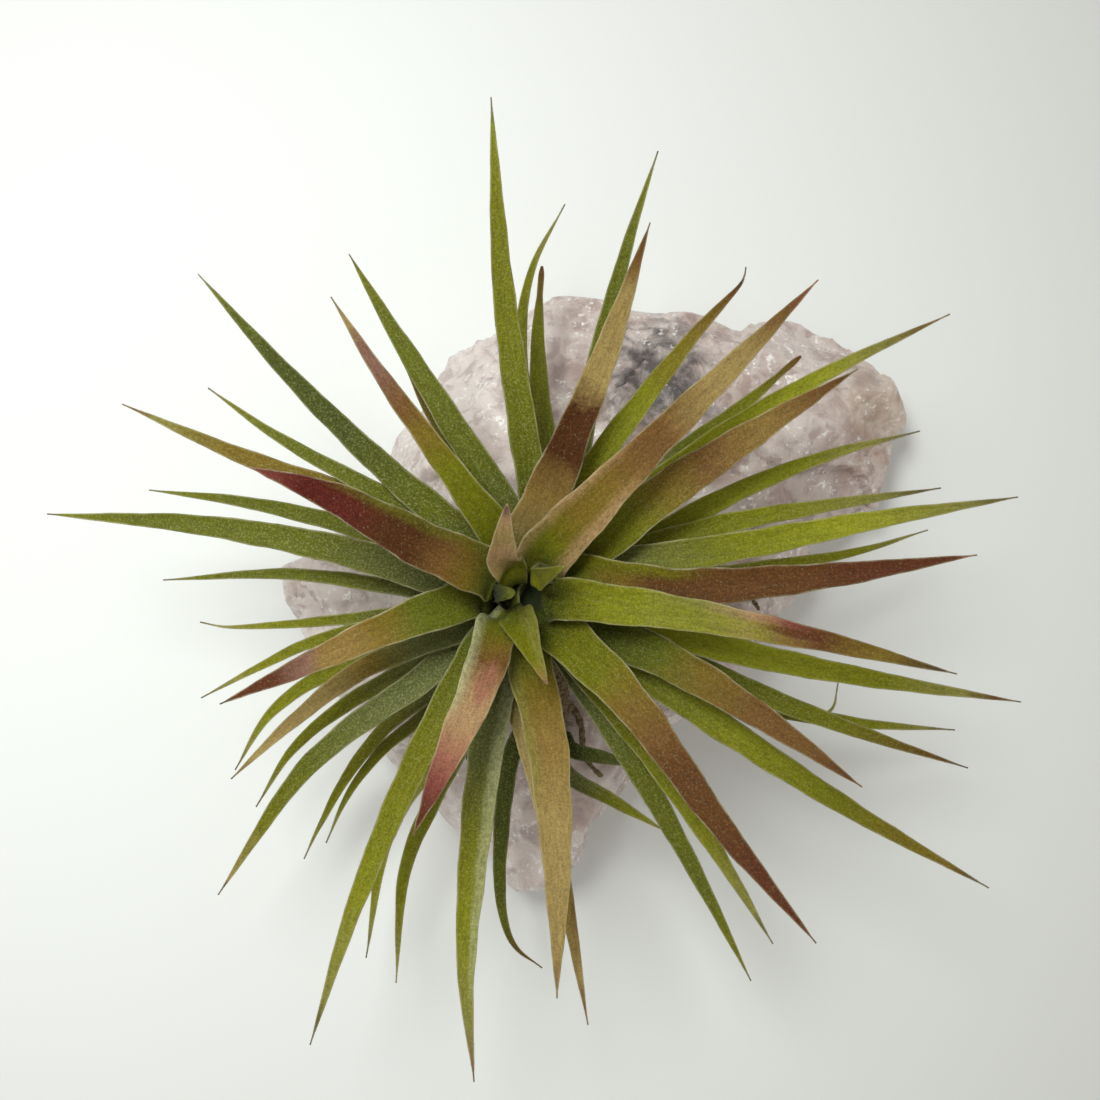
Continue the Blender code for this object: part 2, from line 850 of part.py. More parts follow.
def lay_over(leaf, root, below):
    """Lift a blade smoothly until it clears everything that is below it."""
    lifts = [0.0] * (STATIONS + 1)
    for _ in range(DRAPE_PASSES):
        line = centre_line(leaf, root, lifts)
        needs = shortfalls(leaf, line, below)
        if max(needs) < CLOSE_ENOUGH:
            break
        spacing = (line[-1] - line[0]).length / STATIONS
        wanted = [lift + need if need > 0.0 else 0.0 for lift, need in zip(lifts, needs)]
        for step in range(STATIONS + 1):
            raised = [want * fade((step - other) * spacing) for other, want in enumerate(wanted)]
            lifts[step] = max(lifts[step], *raised)
    return centre_line(leaf, root, lifts)


def blade_skin(leaf, line, spare=0.0):
    """Closed blade with a shallow channel above and a keel below, and spare room round it."""
    frames = cross_frames(line)
    rings = []
    for step in RING_STEPS:
        along, left, upward = frames[step]
        half, channel, thickness = blade_section(leaf, step / STATIONS, line[step].z)
        shoulder = shoulder_height(channel, thickness) - spare
        corners = [
            (half + spare, channel),
            (0.0, spare),
            (-half - spare, channel),
            (-half * SHOULDER, shoulder),
            (0.0, -thickness - spare),
            (half * SHOULDER, shoulder),
        ]
        rings.append([line[step] + left * out + upward * rise for out, rise in corners])
    return loft(rings, line[STATIONS])


def add_leaf(leaf, stem, part, layers):
    """Seat one leaf on the stem, lay it over the others and add it."""
    centre, radius = stem_place(stem, part)
    aim = true_place(*leaf.plan[0], centre.z) - centre
    aim.z = 0.0
    root = centre + aim.normalized() * (radius + GAP)
    below = layers.surface()
    for _ in range(ROOT_TRIES):
        line = lay_over(leaf, root, below)
        if not BVHTree.FromPolygons(*blade_skin(leaf, line, GAP / 2)).overlap(below):
            break
        root.z += GAP
    points, faces = blade_skin(leaf, line)
    add_piece(leaf.name, leaf.colour, points, faces, True)
    layers.add(points, faces)


def add_leaves(leaves, stem, seats, layers):
    """Leaves seated one after the other between two parts of a length of stem."""
    for step, leaf in enumerate(leaves):
        add_leaf(leaf, stem, blend(*seats, step / (len(leaves) - 1)), layers)


def stand_at_zero():
    """Move every piece so that the middle of the whole stands over zero."""
    pieces = [piece for piece in bpy.context.scene.objects if piece.type == "MESH"]
    corners = [corner.co for piece in pieces for corner in piece.data.vertices]
    low = [min(corner[axis] for corner in corners) for axis in range(3)]
    high = [max(corner[axis] for corner in corners) for axis in range(3)]
    shift = Vector((-(low[0] + high[0]) / 2, -(low[1] + high[1]) / 2, -low[2]))
    for piece in pieces:
        piece.data.transform(Matrix.Translation(shift))


def main():
    """The stone, the stem on it and the leaves from the oldest to the youngest."""
    for old in list(bpy.data.objects):
        bpy.data.objects.remove(old)
    layers = Layers()
    points, faces = stone_skin()
    add_piece("rose_quartz", "quartz", points, faces, False)
    layers.add(points, faces)
    add_stem(layers)
    add_leaves(OLD_LEAVES, LYING_STEM, OLD_SEATS, layers)
    add_leaves(ROSETTE_LEAVES, UPRIGHT_STEM, ROSETTE_SEATS, layers)
    stand_at_zero()


main()
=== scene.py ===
import itertools
import math
from collections import namedtuple
from functools import partial

import bpy
import numpy as np
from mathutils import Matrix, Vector, noise


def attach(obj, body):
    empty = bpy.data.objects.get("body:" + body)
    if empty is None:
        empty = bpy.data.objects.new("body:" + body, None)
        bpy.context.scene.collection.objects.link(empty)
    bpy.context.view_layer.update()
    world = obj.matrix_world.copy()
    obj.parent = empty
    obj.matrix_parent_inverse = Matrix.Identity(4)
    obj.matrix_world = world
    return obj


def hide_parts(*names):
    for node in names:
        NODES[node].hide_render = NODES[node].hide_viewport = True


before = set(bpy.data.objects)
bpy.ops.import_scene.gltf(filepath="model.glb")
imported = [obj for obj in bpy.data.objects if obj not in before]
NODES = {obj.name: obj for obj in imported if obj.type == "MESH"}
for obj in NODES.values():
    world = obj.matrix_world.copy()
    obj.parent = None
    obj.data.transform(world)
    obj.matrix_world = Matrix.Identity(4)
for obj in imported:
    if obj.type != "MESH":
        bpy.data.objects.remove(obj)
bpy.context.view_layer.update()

bl_info = {
    "name": "Air Plant on Rose Quartz",
    "version": (1, 0, 0),
    "blender": (4, 5, 0),
    "location": "3D View > Sidebar > Air Plant",
    "description": "Dresses the solids of an air plant on a rough stone with blades, scales and a lit stage",
    "category": "Add Mesh",
}

MM = 0.001

# The photograph's eye looks straight down; the frame is 110 mm wide at the height of the blades
EYE = (2.15, 3.99, 295.0)
SEEN_LEVEL = 35.0
FRAME_WIDTH = 110.0
# Width of its sensor, and the nearest distance that it sees, in mm
SENSOR = 36.0
NEAREST_SEEN = 10.0

# Floor: its width and how far it lies under the stone in mm, and the cone of the light over it
FLOOR_SIZE = 3000.0
FLOOR_DROP = 0.02
LIGHT_CONE = math.radians(34)

# Upright stem: height, middle and radius in mm
STEM_HEIGHTS = (22.7, 24.6, 28.5, 33.5, 38.5)
STEM_X = (-0.05, -0.05, -0.15, -0.45, -0.65)
STEM_Y = (-1.21, -1.11, -1.01, -0.61, -0.21)
STEM_RADII = (3.4, 5.6, 5.0, 3.9, 2.2)
# Old stem lying on the stone, from its free end to the foot
LYING_STEM = ((2.15, -17.0, 23.9), (2.25, -13.0, 24.2), (1.85, -8.0, 25.0), (1.05, -3.0, 26.0))

# Middle of the heart, how near to it the bases of the leaves round it come, and the bases
# that run on along their own leaf instead, in mm
HEART = (-1.0, -0.3)
HEART_GAPS = {"heart_leaf": 0.9, "inner_leaf": 2.2}
STRAIGHT_BASES = {"inner_leaf_southwest_rose": 2.3, "heart_leaf_east": 2.0}

# Broken faces of the stone: the points worked on at once, and for each kind of face how many, how
# steep, how deep in mm and how soft their ridges are in mm
BATCH = 4000
STONE_FACETS = ((70, 0.20, 0.8, 1.6), (500, 0.13, 0.25, 0.7))
# How far its skin starts below the solid, may rise above it and is rough, in mm, and its sharp creases
STONE_SINK = 0.30
STONE_RISE = 0.15
STONE_ROUGHNESS = 0.06
STONE_CREASE = math.radians(40)
# Height in mm under which the stone is not moved, and under which it is only moved inward
STONE_FOOT = 0.3
STONE_UNDERSIDE = 0.6
# Middle and reach in mm of the smoky patch, and middle and unit of reach of the stained corner
SMOKE_PLACE = (13.7, 23.2, 18.0)
SMOKE_SIZE = (7.0, 7.5, 10.0)
RUST_PLACE = (38.6, 19.2, 12.0)
RUST_SIZE = (1.0, 1.0, 1.0)

# Rows and columns of a leaf's grid: across it, along its base and along its blade
ACROSS = 12
SHEATH_ROWS = 7
BLADE_ROWS = 56
ROWS = SHEATH_ROWS + BLADE_ROWS
# What a leaf's material reads at each corner
VALUES = ("blade_place", "blade_tone", "blade_kind")

# Flat map of a leaf: the strips it is cut into, the rows in one, the share of the map they fill, the
# room at their ends, and how far the blade's face, its rim and its scales reach out in their lane
STRIPS = 3
STRIP_ROWS = math.ceil(ROWS / STRIPS)
LANES = 0.97
LANE_END = 0.01
FACE_REACH = 0.48 * 0.86
RIM_REACH = 0.48 * 0.97
SCALE_REACH = 0.41

# Stretch of a blade that its taper is fitted to, and what is left of its width and depth at its apex
MIDDLE_STRETCH = (0.35, 0.72)
APEX_SHARE = 0.4
# Power of the taper of a grown blade and of a young one, where along it a grown one tapers, how much
# a young one swells, and the half widths of their ends in mm
GROWN_TAPER = 2.3
YOUNG_TAPER = 0.85
TAPER_START = 0.6
YOUNG_SWELL = 1.15
POINT = 0.07
YOUNG_POINT = 0.06
BLUNT_END = 0.3

# Two waves of a blade's margins and one of its middle: how far in half widths, and how fast per mm
WAVES = ((0.022, 0.9), (0.010, 2.9), (0.03, 1.1))
# Power of the rise from the middle of a blade's channel to its margins
CHANNEL = 1.7
# How thin a blade's margin is beside its middle, the power of the way there, and a base's end in mm
MARGIN_THINNING = 0.85
MARGIN_POWER = 1.6
BASE_THICKNESS = 0.12

# Bases of the old leaves: how much of the way to the lying stem they reach
OLD_REACH = 0.9
# Bases round the heart: how far in mm they reach at least, their steepest slope, how much of it they
# keep, how much they narrow, and how far their ends drop in mm
LEAST_REACH = 0.4
STEEPEST = 1.3
KEPT_SLOPE = 0.45
YOUNG_SLOPE = 0.8
BASE_NARROWING = 0.35
BASE_DROP = 3.0
# Other bases: half the angle that they wrap round the stem, how deep in its skin they end in mm, the
# height in mm that they all reach down to, the part of them that swings from the leaf to the stem, and
# how much flatter they are at their end
WRAP = math.radians(68)
WRAP_DEPTH = 0.3
WRAP_HEIGHT = 36.5
WRAP_SWING = 0.35
WRAP_FLATTENING = 0.5

# How softly a band ends, and how much fewer scales a blade has from where on, as parts of its length
BAND_ENDS = 0.16
TIP_BARENESS = 0.55
BARE_FROM = 0.9

# Width and thickness of a scale on a margin and of one that lies on a blade, as parts of its length
FRINGE_FORM = (0.42, 0.3)
FLECK_FORM = (0.5, 0.22)
# Ranges of a fringe scale's lean toward the tip and length, mean and spread of its tilt upward, and how
# long the fringe of an inner leaf is beside the others
FRINGE_LEAN = (0.2, 1.3)
FRINGE_LENGTHS = (0.35, 1.25)
FRINGE_TILT = (0.1, 0.45)
INNER_FRINGE = 0.6
# Range of a lying scale's length, spread of its turn aside, and its lift
FLECK_LENGTHS = (0.6, 1.2)
FLECK_TURN = 0.35
FLECK_LIFT = 0.12
# Lying scales on each mm of a leaf, and how scaly a leaf is before it has any
FLECKS_PER_MM = 18
FLECKS_FROM = 0.35

# Bark: grain of its mesh in mm, how fast its fibres turn across and along, and how deep they are in mm
BARK_GRAIN = 0.25
FIBRE_TURNS = (1.6, 1.6, 0.5)
FIBRE_DEPTHS = (0.16, 0.07)

Look = namedtuple(
    "Look", "tones flecks rim band bands patch patches", defaults=(None, (), None, ())
)


def linear(text):
    """An sRGB hex value as linear red, green and blue."""
    parts = [int(text[at : at + 2], 16) / 255 for at in (1, 3, 5)]
    return tuple(part / 12.92 if part <= 0.04045 else ((part + 0.055) / 1.055) ** 2.4 for part in parts)


def colour(name, text, about):
    """A colour that the user may change."""
    return bpy.props.FloatVectorProperty(
        name=name, description=about, subtype="COLOR", size=3, min=0.0, max=1.0, default=linear(text)
    )


def length(name, millimetres, about):
    """A length that the user may change."""
    return bpy.props.FloatProperty(
        name=name, description=about, unit="LENGTH", min=0.0, precision=5, default=millimetres * MM
    )


def position(name, millimetres, about):
    """A place that the user may change."""
    default = [value * MM for value in millimetres]
    return bpy.props.FloatVectorProperty(
        name=name, description=about, subtype="TRANSLATION", unit="LENGTH", default=default
    )


class AirPlantLeafColours(bpy.types.PropertyGroup):
    """Colours that the leaves take along their length."""

    # Painted shade deep in the heart's hollow, also at the roots of the bud and of an old leaf
    heart_dark: colour("Heart", "#232a04", "Deep inside the heart")
    deep_green: colour("Deep green", "#454c12", "Shaded base of a green leaf")
    grey_green: colour("Grey green", "#646937", "Base of a leaf under many scales")
    olive: colour("Olive", "#5f6412", "Middle of an outer leaf")
    leaf_green: colour("Leaf green", "#6e6f0a", "Outer half of a leaf in the light")
    fresh: colour("Fresh green", "#93961c", "Brightest stretch of a leaf")
    lime: colour("Lime", "#7e8010", "Bright stretch of a leaf")
    pale_green: colour("Pale green", "#84813e", "Dry end of a green leaf")
    straw: colour("Straw", "#9c8650", "Straw-coloured stretch")
    tan: colour("Tan", "#8b7138", "Tan stretch of an inner leaf")
    ochre: colour("Ochre", "#78631e", "Ochre stretch of an inner leaf")
    orange_brown: colour("Orange brown", "#725126", "Flush that turns brown")
    brown: colour("Brown", "#603c17", "Brown stretch of an inner leaf")
    dark_brown: colour("Dark brown", "#4c290b", "Darkest brown of an inner leaf")
    red_brown: colour("Red brown", "#5c3019", "Outer half of a flushed leaf")
    crimson: colour("Crimson", "#541a11", "Reddest flush")
    rose: colour("Rose", "#7c4038", "Rose flush")
    peach: colour("Peach", "#ab8a62", "Pale peach stretch")
    pink: colour("Pink", "#9c6552", "Pink patch")
    mauve: colour("Mauve", "#836050", "Dull tip of a heart leaf")
    dry_tip: colour("Dry tip", "#3b2720", "Dried point of a leaf")
    silver: colour("Silver", "#b4b78a", "Scales on the blades")
    cream: colour("Cream", "#cfc8a2", "Felt along the margins")


class AirPlantSizes(bpy.types.PropertyGroup):
    """Sizes of what the scene adds to the solids."""

    fringe: length("Fringe length", 0.15, "Mean length of the scales that stand out from a margin")
    fringe_gap: length("Fringe spacing", 0.11, "Distance between two scales along a margin")
    scale: length("Scale length", 0.12, "Length of a scale that lies on a blade")
    sheath: length("Sheath length", 3.0, "How far a leaf base runs down the stem")
    stone_grain: length("Stone grain", 0.5, "Size of the smallest facet of the stone's mesh")


class AirPlantStoneColours(bpy.types.PropertyGroup):
    """Colours of the stone."""

    rose: colour("Rose", "#bda79f", "Clear pinkish quartz")
    # Cloudy quartz, also painted over the stone's left end as painted light
    milk: colour("Milk", "#e2d8d3", "Cloudy quartz")
    shade: colour("Shade", "#a08d8b", "Deeper clear quartz")
    # Painted highlight: white spots that stand for light glinting off the broken faces
    painted_highlight: colour("Glint", "#fdfaf8", "Bright cracks near the surface")
    smoke: colour("Smoke", "#3a3638", "Smoky patch")
    rust: colour("Rust", "#a8926c", "Stained corner")


class AirPlantBarkColours(bpy.types.PropertyGroup):
    """Colours of the stem."""

    gap: colour("Gap", "#3a2a18", "Dark gaps between dry fibres")
    fibre: colour("Fibre", "#96805a", "Dry fibres")
    growing: colour("Growing tip", "#27300a", "Living end of the stem")


class AirPlantStage(bpy.types.PropertyGroup):
    """Light and floor."""

    light_power: bpy.props.FloatProperty(
        name="Window light", description="Power of the soft light", unit="POWER", min=0.0, default=9.7
    )
    light_size: length("Window size", 80.0, "Radius of the soft light")
    light_place: position("Window place", (-100.0, 140.0, 520.0), "Where the soft light hangs")
    light_aim: position("Window aim", (-47.0, 14.0, 0.0), "The place on the floor that is lit most")
    sky_strength: bpy.props.FloatProperty(
        name="Room light", description="Strength of the even light", min=0.0, default=0.55
    )
    floor_colour: colour("Floor", "#ebeeed", "Plain pale floor")
    floor_shade: colour("Floor clouds", "#e2e4e1", "Slightly duller places of the floor")
    light_colour: colour("Window colour", "#f6faf7", "Colour of the soft light")
    sky_colour: colour("Room colour", "#f5f1eb", "Colour of the even light")


# Where a tone starts is given as a part of the leaf's length, from 0 at the root to 1 at the tip
SHADED = Look("grey_green 0, grey_green .2, leaf_green .5, lime .78, pale_green .93, dry_tip 1", 0.75, 0.8)
SPECKLED = Look("grey_green 0, grey_green .15, olive .4, olive .75, leaf_green .94, dry_tip 1", 0.85, 0.85)
LIGHT = Look("deep_green 0, olive .12, leaf_green .3, lime .55, pale_green .85, dry_tip 1", 0.6, 0.6)
BRIGHT = Look("grey_green 0, olive .12, leaf_green .35, lime .65, pale_green .9, dry_tip 1", 0.55, 0.75)

LOOKS = {
    "old_leaf_southeast_lower": SHADED,
    "old_leaf_southeast_upper": Look("heart_dark 0, deep_green .4, grey_green .8, dry_tip 1", 0.5, 0.4),
    "old_leaf_south_hooked": Look("deep_green 0, deep_green .4, olive .75, brown 1", 0.6, 0.6),
    "low_leaf_southwest_first": SHADED,
    "low_leaf_southwest_second": SHADED,
    "low_leaf_south_southwest": SHADED,
    "low_leaf_east_southeast": SHADED,
    "low_leaf_east_curled": SHADED,
    "low_leaf_east": SHADED,
    "low_leaf_west": SHADED,
    "low_leaf_west_southwest_first": SHADED,
    "low_leaf_west_southwest_second": SHADED,
    "low_leaf_west_southwest_third": SHADED,
    "low_leaf_north": SHADED,
    "low_leaf_north_blunt": Look("deep_green 0, olive .3, leaf_green .8, brown 1", 0.5, 0.5),
    "low_leaf_northeast_blunt": Look(
        "grey_green 0, olive .5, leaf_green .8, brown .99",
        0.5, 0.7, "silver", ((1, 0.3, -0.1, 0.45, 0.6),),
    ),
    "low_leaf_northwest_blunt": Look("deep_green 0, olive .4, brown 1", 0.6, 0.6),
    "low_leaf_south": SHADED,
    "outer_leaf_east_southeast_low": Look(
        "deep_green 0, grey_green .15, olive .4, leaf_green .7, brown .92, dry_tip 1", 0.7, 0.7
    ),
    "outer_leaf_east_northeast": Look(
        "olive 0, leaf_green .2, fresh .45, lime .7, pale_green .88, dry_tip 1", 0.6, 0.7
    ),
    "outer_leaf_west_thin": SPECKLED,
    "outer_leaf_west_northwest_thin": SPECKLED,
    "outer_leaf_southwest_long": Look(
        "deep_green 0, grey_green .12, grey_green .35, olive .6, leaf_green .8, straw .96, dry_tip 1",
        0.9, 0.75,
    ),
    "outer_leaf_southwest_tan": Look(
        "grey_green 0, grey_green .25, ochre .4, straw .55, straw .9, dry_tip 1", 0.45, 0.7
    ),
    "outer_leaf_northwest_olive": Look(
        "pale_green 0, leaf_green .3, ochre .5, ochre .75, pale_green .9, red_brown .98", 0.7, 0.9
    ),
    "outer_leaf_northwest_thin": SPECKLED,
    "outer_leaf_east_thin": LIGHT,
    "outer_leaf_south_southeast_olive": SPECKLED,
    "outer_leaf_north_northeast": SPECKLED,
    "outer_leaf_east_southeast_long": Look(
        "lime 0, fresh .2, fresh .5, lime .7, pale_green .88, crimson .96, dry_tip .99", 0.5, 0.9
    ),
    "outer_leaf_west_long": Look(
        "grey_green 0, grey_green .15, olive .4, olive .8, leaf_green .95, dry_tip 1", 0.9, 0.9
    ),
    "outer_leaf_north_northwest": Look(
        "grey_green 0, olive .3, olive .8, leaf_green .95, dry_tip 1", 0.85, 0.85
    ),
    "outer_leaf_northwest_long": Look(
        "grey_green 0, olive .22, deep_green .5, deep_green .72, olive .95, dry_tip 1", 0.85, 0.85
    ),
    "outer_leaf_northeast_long": Look(
        "grey_green 0, olive .1, lime .3, fresh .5, fresh .7, pale_green .85, brown .97, dry_tip 1",
        0.4, 0.9,
    ),
    "outer_leaf_south_southeast_bright": BRIGHT,
    "outer_leaf_south_tan": Look(
        "grey_green 0, straw .3, straw .55, tan .7, straw .88, red_brown .97, dry_tip 1", 0.4, 0.8
    ),
    "outer_leaf_east_long": Look(
        "deep_green 0, grey_green .15, lime .4, fresh .65, pale_green .88, dry_tip 1", 0.55, 0.8
    ),
    "outer_leaf_south_long": Look(
        "deep_green 0, grey_green .25, leaf_green .5, lime .7, pale_green .88, mauve .97, dry_tip 1",
        0.7, 0.8, "silver", ((1, 0.35, 0.05, 0.8, 0.5),),
    ),
    "outer_leaf_north_long": Look(
        "grey_green 0, olive .2, leaf_green .5, leaf_green .75, lime .93, dry_tip 1", 0.75, 0.8
    ),
    "outer_leaf_northeast_bright": Look(
        "olive 0, leaf_green .25, lime .55, ochre .8, brown .93, dry_tip .97", 0.35, 0.8
    ),
    "outer_leaf_southeast_long": Look(
        "grey_green 0, olive .15, lime .45, leaf_green .65, ochre .92, dry_tip .98", 0.5, 0.85
    ),
    "outer_leaf_south_southwest_long": BRIGHT,
    "inner_leaf_west_southwest": Look(
        "deep_green 0, olive .15, olive .3, ochre .42, tan .52, tan .62, mauve .7, red_brown .8,"
        " red_brown .95, dry_tip 1",
        0.3, 0.9,
    ),
    "inner_leaf_southeast_tan": Look(
        "olive 0, deep_green .2, olive .35, ochre .5, orange_brown .65, orange_brown .85, red_brown .95",
        0.4, 0.8,
    ),
    "inner_leaf_northeast_brown": Look(
        "olive 0, leaf_green .2, leaf_green .3, ochre .44, orange_brown .55, tan .72,"
        " orange_brown .86, brown .95, dry_tip 1",
        0.5, 0.9,
    ),
    "inner_leaf_northwest_brown": Look(
        "leaf_green 0, leaf_green .4, ochre .52, orange_brown .62, mauve .75, mauve .85, straw .93,"
        " dry_tip 1",
        0.25, 1.0,
    ),
    "inner_leaf_north_brown": Look(
        "leaf_green 0, straw .13, tan .23, dark_brown .36, dark_brown .48, straw .57, straw .82,"
        " orange_brown .92, red_brown 1",
        0.2, 0.9,
    ),
    "inner_leaf_south_tan": Look(
        "olive 0, olive .1, ochre .26, tan .4, straw .6, straw .9, brown 1",
        0.25, 0.7, "pale_green", ((-1, 0.25, 0.05, 0.5, 0.6),),
    ),
    "inner_leaf_east_brown": Look(
        "olive 0, olive .08, ochre .18, brown .28, brown .6, red_brown .75, red_brown .95, rose 1",
        0.3, 0.8, "leaf_green", ((1, 0.28, -0.1, 0.36, 0.85),),
    ),
    "inner_leaf_southeast_red": Look(
        "deep_green 0, leaf_green .12, leaf_green .22, ochre .31, orange_brown .42, brown .52,"
        " brown .65, red_brown .8, red_brown 1",
        0.4, 0.8,
    ),
    "inner_leaf_northeast_orange": Look(
        "olive 0, leaf_green .1, ochre .2, ochre .3, orange_brown .42, orange_brown .52, straw .65,"
        " straw .78, orange_brown .9, rose .98",
        0.2, 0.8, "peach", ((1, 0.14, -0.05, 0.4, 0.8), (-1, 0.24, 0.03, 0.36, 0.85)),
    ),
    "inner_leaf_east_green": Look(
        "deep_green 0, leaf_green .12, lime .25, pale_green .42, peach .52, rose .6, brown .7,"
        " ochre .82, dry_tip .97",
        0.35, 0.7, "lime", ((-1, 0.7, 0.3, 0.62, 0.8),), "crimson", ((0.62, 0.1, 0.07, 0.35, 0.8),),
    ),
    "inner_leaf_southwest_rose": Look(
        "olive 0, leaf_green .1, ochre .2, orange_brown .28, peach .42, peach .55, pink .68,"
        " rose .8, red_brown .93",
        0.25, 0.7, "silver", ((-1, 0.2, -0.1, 0.5, 0.75),), "pink", ((0.36, 0.3, 0.09, 0.45, 0.85),),
    ),
    "inner_leaf_west_red": Look(
        "olive 0, olive .06, ochre .17, orange_brown .26, dark_brown .4, dark_brown .52,"
        " crimson .66, crimson .8, rose .95",
        0.25, 0.8, "olive", ((-1, 0.22, -0.05, 0.7, 0.7),),
    ),
    "heart_leaf_east": Look("deep_green 0, leaf_green .35, leaf_green .7, lime 1", 0.2, 0.3),
    "heart_leaf_south": Look(
        "deep_green 0, olive .15, leaf_green .4, leaf_green .75, tan .93, mauve 1",
        0.2, 0.3, "pale_green", ((1, 0.45, -0.05, 0.95, 0.6),),
    ),
    "heart_leaf_north": Look(
        "leaf_green 0, straw .16, peach .4, straw .6, peach .8, mauve .92, rose 1", 0.2, 0.9
    ),
    "heart_bud": Look("heart_dark 0, deep_green .5, olive .8, deep_green 1", 0.1, 0.0),
}


def ease(part):
    """Smooth step from 0 to 1 of an array or a number."""
    part = np.clip(part, 0.0, 1.0)
    return part * part * (3.0 - 2.0 * part)


def smooth_curve(knots, values):
    """A function that reads the smooth curve through values given at knots."""
    gaps = np.diff(knots)
    size = len(knots)
    system = np.eye(size)
    turns = np.zeros_like(values)
    slopes = np.diff(values, axis=0) / gaps[:, None]
    for at in range(1, size - 1):
        system[at, at - 1 : at + 2] = gaps[at - 1], 2.0 * (gaps[at - 1] + gaps[at]), gaps[at]
        turns[at] = 6.0 * (slopes[at] - slopes[at - 1])
    bends = np.linalg.solve(system, turns)

    def read(places):
        leg = np.clip(np.searchsorted(knots, places) - 1, 0, size - 2)
        gap = gaps[leg][:, None]
        far = (places - knots[leg])[:, None] / gap
        near = 1.0 - far
        bent = (near**3 - near) * bends[leg] + (far**3 - far) * bends[leg + 1]
        return near * values[leg] + far * values[leg + 1] + gap**2 / 6.0 * bent

    return read


def deselect():
    """Leave nothing selected."""
    bpy.ops.object.select_all(action="DESELECT")


def pick(piece):
    """Leave one piece selected and active."""
    deselect()
    piece.select_set(True)
    bpy.context.view_layer.objects.active = piece


def apply_modifier(piece, kind, **settings):
    """Add a modifier to a piece and apply it."""
    pick(piece)
    bpy.ops.object.modifier_add(type=kind)
    modifier = piece.modifiers[-1]
    for name, value in settings.items():
        setattr(modifier, name, value)
    bpy.ops.object.modifier_apply(modifier=modifier.name)


def new_piece(name, mesh):
    """A piece of the scene made of a mesh."""
    piece = bpy.data.objects.new(name, mesh)
    bpy.context.scene.collection.objects.link(piece)
    return piece


def discard(piece):
    """Take a piece and its mesh out of the scene."""
    mesh = piece.data
    bpy.data.objects.remove(piece)
    bpy.data.meshes.remove(mesh)


def merged_copy(name, new_name):
    """A copy of a CAD node with its loose triangles merged."""
    piece = new_piece(new_name, NODES[name].data.copy())
    pick(piece)
    bpy.ops.object.mode_set(mode="EDIT")
    bpy.ops.mesh.select_all(action="SELECT")
    bpy.ops.mesh.remove_doubles(threshold=1e-6)
    bpy.ops.object.mode_set(mode="OBJECT")
    piece.data.materials.clear()
    return piece


def corners_of(mesh):
    """The corners of a mesh in mm, as rows."""
    corners = np.zeros(len(mesh.vertices) * 3)
    mesh.vertices.foreach_get("co", corners)
    return corners.reshape(-1, 3) / MM


def normals_of(mesh):
    """The normals at the corners of a mesh, as rows."""
    normals = np.zeros(len(mesh.vertices) * 3)
    mesh.vertices.foreach_get("normal", normals)
    return normals.reshape(-1, 3)


def move_corners(mesh, places):
    """Move the corners of a mesh to places in mm."""
    mesh.vertices.foreach_set("co", (places * MM).ravel())
    mesh.update()


def unit(ways):
    """Ways as rows, each made 1 long."""
    return ways / np.linalg.norm(ways, axis=1)[:, None]


def stem_at(height, *measures):
    """Measures of the upright stem at a height."""
    return [np.interp(height, STEM_HEIGHTS, measure) for measure in measures]


def leaf_rings(name):
    """The six corners of each ring of a leaf's solid from root to tip, and its apex, in mm."""
    piece = merged_copy(name, "rings of " + name)
    mesh = piece.data
    corners = corners_of(mesh)
    near = [set() for _ in mesh.vertices]
    for edge in mesh.edges:
        start, end = edge.vertices
        near[start].add(end)
        near[end].add(start)
    discard(piece)
    for apex in range(len(near)):
        levels, seen = [{apex}], {apex}
        while levels[-1]:
            after = set().union(*(near[corner] for corner in levels[-1])) - seen
            seen |= after
            levels.append(after)
        sizes = [len(level) for level in levels[:-1]]
        if sizes[0] == 1 and len(sizes) > 5 and set(sizes[1:]) == {6}:
            break
    else:
        raise RuntimeError(f"{name} has no rings of six corners")
    rings = [sorted(level) for level in levels[-2:0:-1]]
    last = [rings[-1][0]]
    while len(last) < 6:
        last.append(min((near[last[-1]] & set(rings[-1])) - set(last)))
    ordered = [corners[last]]
    orders = np.array(list(itertools.permutations(range(6))))
    for ring in rings[-2::-1]:
        here = corners[ring]
        shifted = (here - here.mean(0))[orders]
        known = ordered[0] - ordered[0].mean(0)
        best = ((shifted - known) ** 2).sum((1, 2)).argmin()
        ordered.insert(0, here[orders[best]])
    return np.array(ordered), corners[apex]


